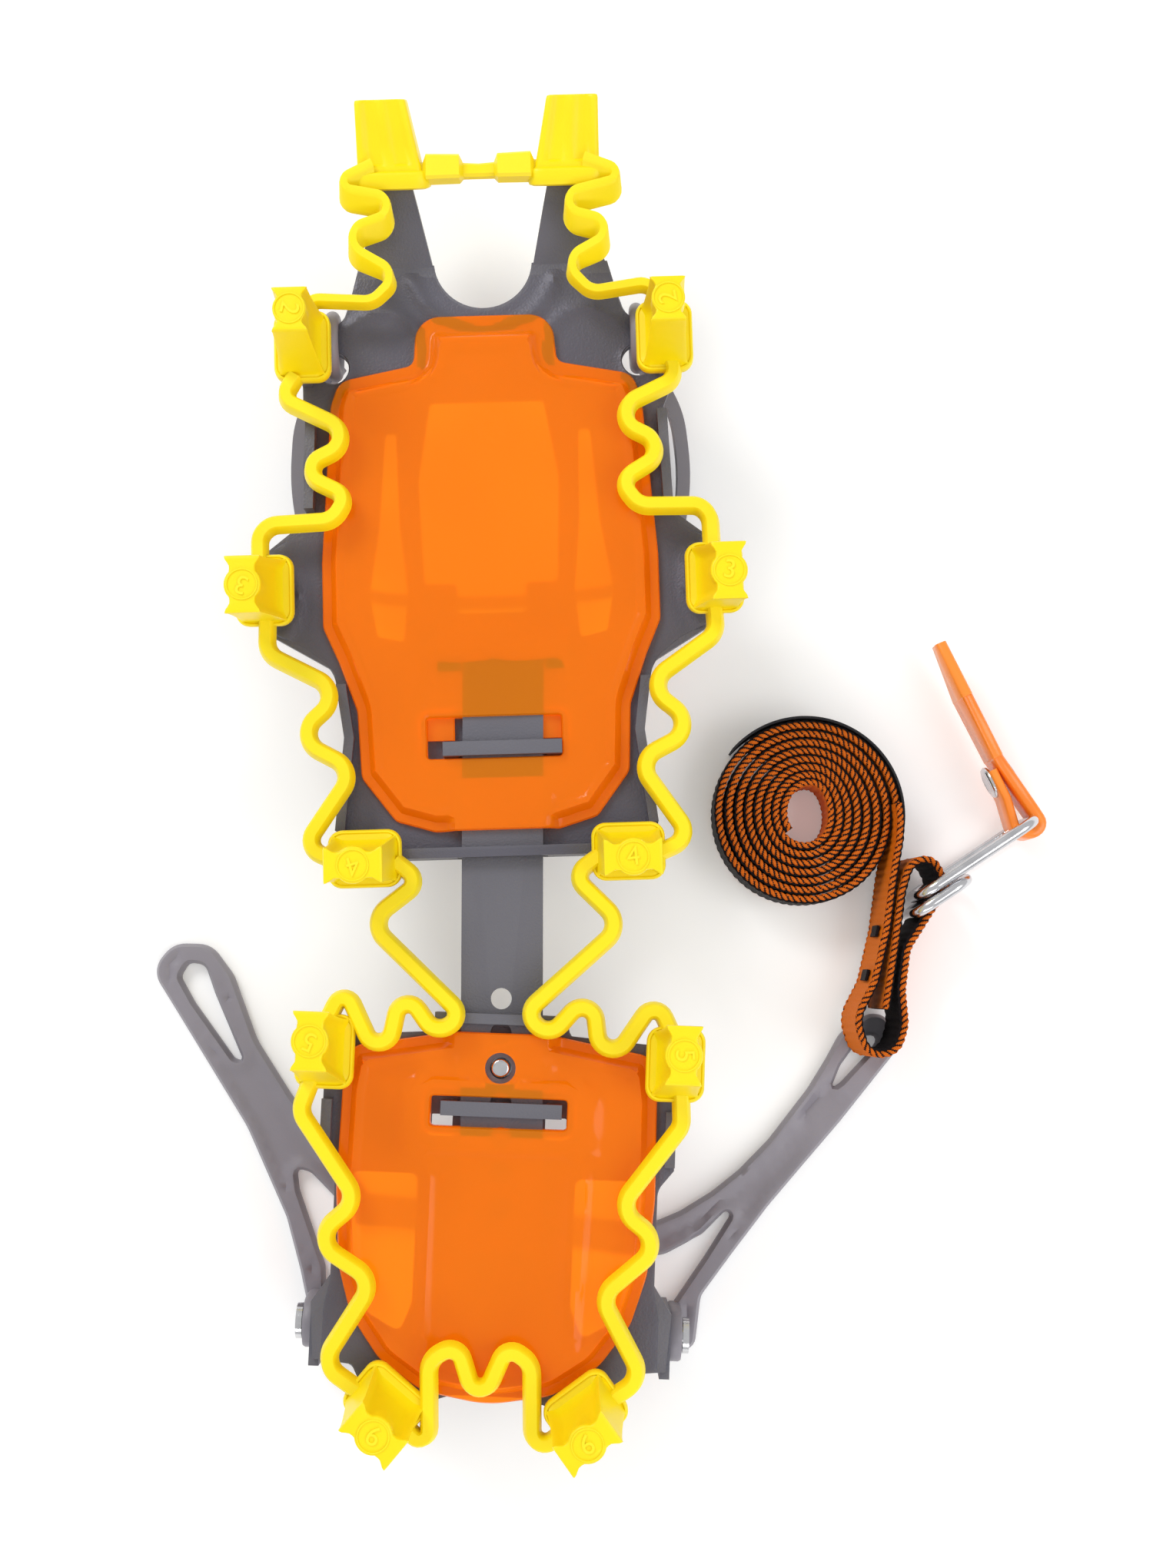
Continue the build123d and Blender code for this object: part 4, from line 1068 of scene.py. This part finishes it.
def webbing_shape(route, bottom, lean):
    """The flat of the strap, on edge, its faces ribbed across the weave."""
    levels = np.linspace(0.7, WEB_WIDTH_MM - 0.75, 6)
    rings = []
    for (x, y), (dx, dy), s in zip(*travel_ways(route, 0.45)):
        rib = 0.26 * abs(sin(pi * s / 2.1))
        half = WEB_THICK_MM / 2 - 0.2 + rib
        ring = []
        for sign, heights in ((1, levels), (-1, levels[::-1])):
            for z in heights:
                shift = -lean * (1 - z / WEB_WIDTH_MM)
                ring.append((x - sign * dy * half + shift, y + sign * dx * half, bottom + z))
        rings.append(ring)
    return tube(rings), len(levels)


def strap_parts(name, route, bottom, fabric, cord, lean=0.0):
    """One run of two-faced webbing with its two corded edges; it may lean by its lower edge."""
    body, levels = webbing_shape(route, bottom, lean)
    main = make_piece(name, body, BENCH, fabric[0], "cradle", sharp=50.0)
    main.data.materials.append(fabric[1])
    around = 2 * levels
    for face in main.data.polygons:
        ids = {i % around for i in face.vertices}
        face.material_index = 0 if min(ids) >= levels and len(face.vertices) == 4 else 1
    edges = []
    for label, height, shift in (("upper", WEB_WIDTH_MM - 0.8, 0.0), ("lower", 0.8, -lean)):
        shape, marks = braid(route, bottom + height, shift)
        edge = make_piece(f"{name}_{label}_cord", shape, BENCH, cord[0], "cradle", sharp=180.0)
        edge.data.materials.append(cord[1])
        level = np.array(marks)
        for face in edge.data.polygons:
            mean = level[list(face.vertices)].mean()
            face.material_index = 1 if mean < -0.3 else 0
        edges.append(edge)
    return main, edges


def lay_run(name, node, route, bottom, fabric, cord, lean=0.0):
    """One run in place of its plain node."""
    run, edges = strap_parts(name, route, bottom, fabric, cord, lean)
    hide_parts(node)


def build_strap(fabric, cord, tape):
    bottom = GROUND_MM + 0.1
    lay_run("strap_roll", "strap_coil", coil_route(), bottom, fabric, cord)
    route = rounded_route(LEAD_POINTS, 9.0, 0.8)
    lift = bottom + RUN_LIFT_MM
    lay_run("strap_run", "strap_lead", route, lift, fabric, cord, RUN_LEAN_MM)
    turns = np.radians(np.linspace(138, -14, 60))
    outer = COIL_OUTER_MM + WEB_THICK_MM / 2 + 0.45
    reach = outer - 0.35 * np.linspace(1, 0, 60)
    arc = np.stack([COIL_MM[0] + reach * np.cos(turns), COIL_MM[1] + reach * np.sin(turns)], 1)
    shape = band(arc, box_profile(0.6, WEB_WIDTH_MM + 0.3, 0.1), np.full(60, bottom))
    make_piece("strap_roll_sleeve", shape, BENCH, tape, "cradle")
    tacks = []
    points = walk(route, 0.5)[0]
    for share in (0.2, 0.27):
        i = int(share * len(points))
        patch = points[i - 3:i + 4]
        way = points[i + 1] - points[i]
        side = np.array([-way[1], way[0]])
        patch = patch - side / np.hypot(*side) * (WEB_THICK_MM / 2 + 0.15) - [1.0, 0.0]
        tacks.append(band(patch, box_profile(0.8, 9.0, 0.1), np.full(len(patch), bottom + 6.6)))
    make_piece("strap_bar_tacks", joined(tacks), BENCH, cord[1], "cradle")


# ---- Rings and pull tab ----
WIRE_MM = 1.5                # the wire's radius
RING_ENDS = {"large": ((108.5, 28.0), (141.6, 49.6)), "small": ((107.3, 23.3), (123.6, 34.0))}


def wire_loop(start, end):
    """A bent wire ring on edge between two places of the ground plan."""
    ax, ay = start
    bx, by = end
    reach = hypot(bx - ax, by - ay)
    dx, dy = (bx - ax) / reach, (by - ay) / reach
    low, far, high = WIRE_MM, reach - WIRE_MM, RING_HEIGHT_MM - WIRE_MM
    flat = rounded_loop([(low, low), (far, low), (far, high), (low, high)], 5.0, 1.0)
    rings = []
    for i, (s, z) in enumerate(flat):
        way = flat[(i + 1) % len(flat)] - flat[i - 1]
        way = way / np.hypot(*way)
        out = np.array([way[1], -way[0]])
        ring = []
        for k in range(16):
            t = 2 * pi * k / 16
            a, b = WIRE_MM * cos(t), WIRE_MM * sin(t)
            along_s, up = s + out[0] * a, z + out[1] * a
            ring.append((ax + dx * along_s - dy * b, ay + dy * along_s + dx * b, GROUND_MM + up))
        rings.append(ring)
    return tube(rings, closed=True)


def build_rings(finish):
    for size, (start, end) in RING_ENDS.items():
        ring, node = wire_loop(start, end), f"{size}_ring"
        make_piece(f"{size}_wire_ring", ring, BENCH, finish, "rings", [node], 80.0)


TAB_ROUTE = [
    (117.4, 97.4), (123.6, 82.4), (131.6, 66.0), (140.6, 52.6), (143.6, 48.0), (140.6, 45.2),
    (136.4, 46.2), (134.0, 55.0), (130.4, 62.6),
]
# radius and height of each ring of a rivet's turned head
RIVET_RINGS = [(2.6, -1.3), (4.2, -0.9), (4.5, -0.2), (4.1, 0.45), (3.1, 0.7), (1.8, 0.2), (0.9, 0.1)]


def build_tab(finish, metal):
    route = rounded_route(TAB_ROUTE, 4.0, 0.8)
    rings = []
    for (x, y), (dx, dy), t in zip(route, headings(route), np.linspace(0, 1, len(route))):
        half = 1.45 - 0.35 * step_up(t, 0.55, 0.7)
        high = 11.0 + 3.4 * (1 - step_up(t, 0.02, 0.3))
        high = high * (1 - 0.55 * max(0.0, 1 - t / 0.035) ** 2)
        low = RING_HEIGHT_MM / 2 - high / 2 - 1.0
        section = box_profile(2 * half, high, 0.5)
        rings.append([(x - dy * a, y + dx * a, GROUND_MM + low + b) for a, b in section])
    make_piece("pull_tab_strip", tube(rings), BENCH, finish, "tab", ["pull_tab"], 50.0)
    rivets = []
    for x, y, turn in ((130.3, 59.5, 205.0), (135.4, 62.9, 34.0)):
        face = Matrix.Translation((x, y, GROUND_MM + 11.0)) @ Matrix.Rotation(radians(turn), 4, "Z")
        face = face @ Matrix.Rotation(radians(90), 4, "Y")
        rings = [[(a, b, z) for a, b in circle_loop(0, 0, r, 32)] for r, z in RIVET_RINGS]
        rivets.append(moved(tube(rings), face))
    make_piece("pull_tab_rivet", joined(rivets), BENCH, metal, "tab", ["tab_rivet"], 60.0)


# ---- CAD nodes that keep their shape ----
def dress(nodes, finish):
    for name in nodes:
        node = frame["nodes"][name]
        node.data.materials.clear()
        node.data.materials.append(finish)


steel = powder_coat()
yellow = yellow_rubber()
grey = grey_moulding()
orange = orange_plate()
silver = bright_steel()
tab_orange = orange_tab()
webbing = woven("webbing_face", (0.74, 0.17, 0.006), (0.2, 0.02, 0.002))
strand = woven("selvedge_strand", (0.66, 0.14, 0.008), (0.2, 0.03, 0.003))
dark_thread = woven("selvedge_dark", (0.006, 0.004, 0.005), (0.012, 0.007, 0.007))
dark_tape = woven("dark_tape", (0.02, 0.02, 0.023), (0.05, 0.05, 0.055))

set_camera()
set_light()
add_ground()
dress(["front_frame", "heel_frame", "linking_bar"], steel)
dress(["toe_cradle"], grey)
dress(["latch_pin", "latch_lever", "heel_rivet_left", "heel_rivet_right"], silver)
build_steel_faces(steel)
build_plates(orange)
build_guard(yellow)
build_cradle(grey)
build_strap((webbing, dark_thread), (strand, dark_thread), dark_tape)
build_rings(silver)
build_tab(tab_orange, silver)
